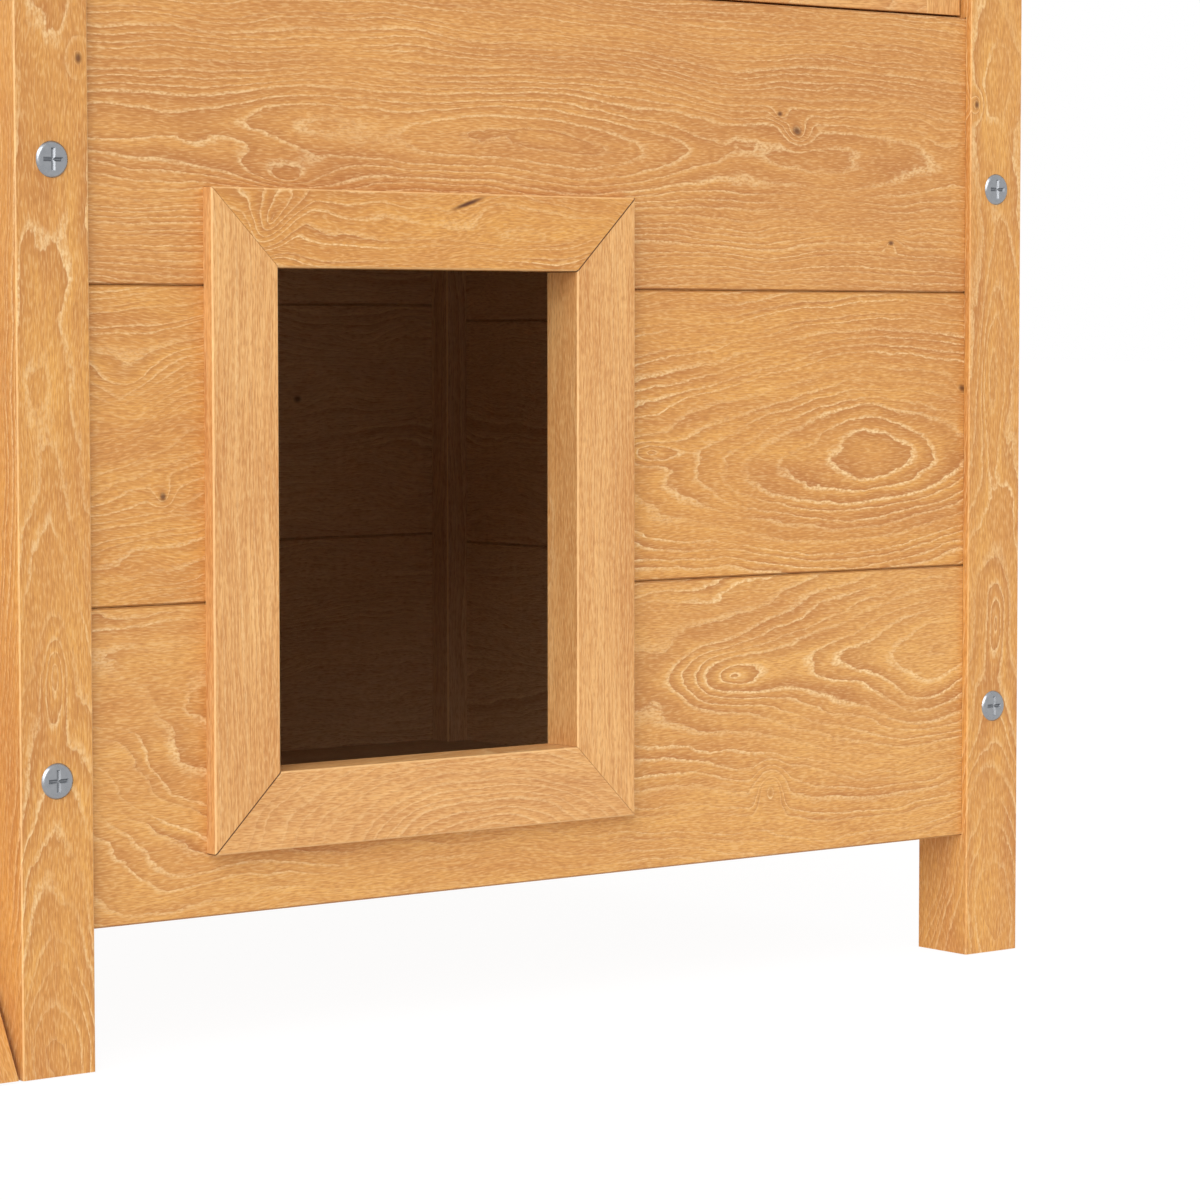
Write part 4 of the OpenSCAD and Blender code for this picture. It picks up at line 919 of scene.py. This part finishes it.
# The tab thins to 15 % of its thickness where it slips under the next course
for corner in tab.data.vertices:
    corner.co.z *= 0.15 + 0.85 * min(max(corner.co.y / course, 0.0), 1.0)
print("tab faces:", len(tab.data.polygons))

# %% Shingle courses
FIRST_Y = -0.034 / math.cos(fall)  # the covering's upper end, along the slope
PANEL_T = 0.009
TAB_Z = PANEL_T + 0.00195  # just inside the base sheet
HALF_TAB = 0.468  # a half tab's width as a share of a whole one's
LAST_SHORTER = 0.004
places = []
for row in range(COURSES):
    odd = row % 2 == 1
    for i in range(TABS + odd):
        x = (i + (0 if odd else 0.5)) * tab_w
        half = odd and i in (0, TABS)
        middle = x + (0 if not half else tab_w / 4 if i == 0 else -tab_w / 4)
        width = HALF_TAB if half else 1.0
        length = 1.0 if row < COURSES - 1 else (course - LAST_SHORTER) / course
        corner = Matrix.Translation((middle - COVER_W / 2, FIRST_Y + row * course, TAB_Z))
        places.append(on_roof @ corner @ turned(dice.uniform(-0.15, 0.15), "Z")
                      @ Matrix.Diagonal((width, length, dice.uniform(0.94, 1.0), 1)))
tabs = spread(tab, "shingle_tabs", places, "roof", asphalt)
bpy.data.objects.remove(tab)

# %% Base sheet below the tabs
# The sheet starts too long. Both ends are then cut upright, half a millimetre inside the
# solid covering's ends.
SHEET_T, TOO_LONG, END_Y = 0.002, 0.6, 0.2425
bpy.ops.object.select_all(action="DESELECT")
bpy.ops.mesh.primitive_cube_add(size=1, location=(0, 0.23, PANEL_T + SHEET_T / 2))
sheet = bpy.context.object
sheet.scale = (COVER_W, TOO_LONG, SHEET_T)
bpy.ops.object.transform_apply(location=True, scale=True)
sheet.data.transform(on_roof)
for outwards in (-1, 1):
    pick(sheet, lambda at: True)
    bpy.ops.mesh.bisect(plane_co=(0, outwards * END_Y, 0), plane_no=(0, outwards, 0),
                        use_fill=True, clear_outer=True)
    bpy.ops.object.mode_set(mode="OBJECT")
pick(sheet, lambda at: True, "EDGE")
bpy.ops.mesh.bevel(offset=0.0003, segments=1)
bpy.ops.object.mode_set(mode="OBJECT")
sheet.name = "shingle_base_sheet"
sheet.data.materials.append(asphalt)
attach(sheet, "roof")
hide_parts("roof_shingles")
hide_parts("roof_shingles")
print("base sheet faces:", len(sheet.data.polygons))

# %% [markdown]
# The floor is pale and plain. Seen by the camera it is nearly white, and a share of real
# diffuse light is left in it, so that the house still throws its soft shadow there. For all
# other rays a quarter of it glows, a painted fill light that lights the house from below.


# %% Floor
def shows_background(tree):
    # 1 for rays from the camera, off a glossy surface or through a clear one
    seen = add(tree, "ShaderNodeLightPath")
    either = add(tree, MATH, {0: seen.outputs["Is Camera Ray"], 1: seen.outputs["Is Glossy Ray"]},
                 operation="MAXIMUM")
    return add(tree, MATH, {0: either.outputs[0], 1: seen.outputs["Is Transmission Ray"]},
               operation="MAXIMUM").outputs[0]


BELOW_FEET = -0.0005
bpy.ops.object.select_all(action="DESELECT")
bpy.ops.mesh.primitive_plane_add(size=60, location=(0, 0, BELOW_FEET))
floor = bpy.context.object
floor.name = "floor"
paper, tree, shader = new_material("pale studio floor")
shader.inputs["Base Color"].default_value = linear("#EEEDEB")
shader.inputs["Roughness"].default_value = 0.9
# For rays that are not camera, glossy or transmission rays a quarter of the floor glows: painted
# fill light from below
share = add(tree, "ShaderNodeMapRange", {0: shows_background(tree), 3: 0.25, 4: 0.9})
white = add(tree, "ShaderNodeEmission", {"Color": (1, 1, 1, 1), "Strength": 1.05})
blend = add(tree, "ShaderNodeMixShader", {
    0: share.outputs[0], 1: shader.outputs[0], 2: white.outputs[0]})
tree.links.new(blend.outputs[0], tree.nodes["Material Output"].inputs["Surface"])
floor.data.materials.append(paper)
print("floor:", floor.name)

# %% [markdown]
# The light is a bright overcast studio: an even white world, and one wide soft sun from
# the front left and above, which shapes the edges and darkens the doorway's right jamb.
# A weak narrow light low on the left puts glints in the screws' recesses.

# %% World
world = bpy.data.worlds.new("studio")
bpy.context.scene.world = world
world.use_nodes = True
tree = world.node_tree
even = tree.nodes["Background"]
even.inputs["Color"].default_value = (1, 1, 1, 1)
even.inputs["Strength"].default_value = 0.69
bright = add(tree, "ShaderNodeBackground", {"Color": (1, 1, 1, 1), "Strength": 1.0})
blend = add(tree, "ShaderNodeMixShader", {
    0: shows_background(tree), 1: even.outputs[0], 2: bright.outputs[0]})
tree.links.new(blend.outputs[0], tree.nodes["World Output"].inputs["Surface"])
bpy.context.scene.view_settings.view_transform = "Standard"
print("world ready:", world.name)


# %% Two far lights
def far_light(name, energy, width, direction):
    light_data = bpy.data.lights.new(name, "SUN")
    light_data.energy = energy
    light_data.angle = math.radians(width)
    light = bpy.data.objects.new(name, light_data)
    bpy.context.scene.collection.objects.link(light)
    light.rotation_euler = Vector(direction).to_track_quat("-Z", "Y").to_euler()
    print(name, "energy:", energy)


far_light("soft_sun", 2.0, 50, (0.62, 0.5, -0.6))
far_light("left_strip", 0.35, 22, (0.85, 0.52, -0.04))
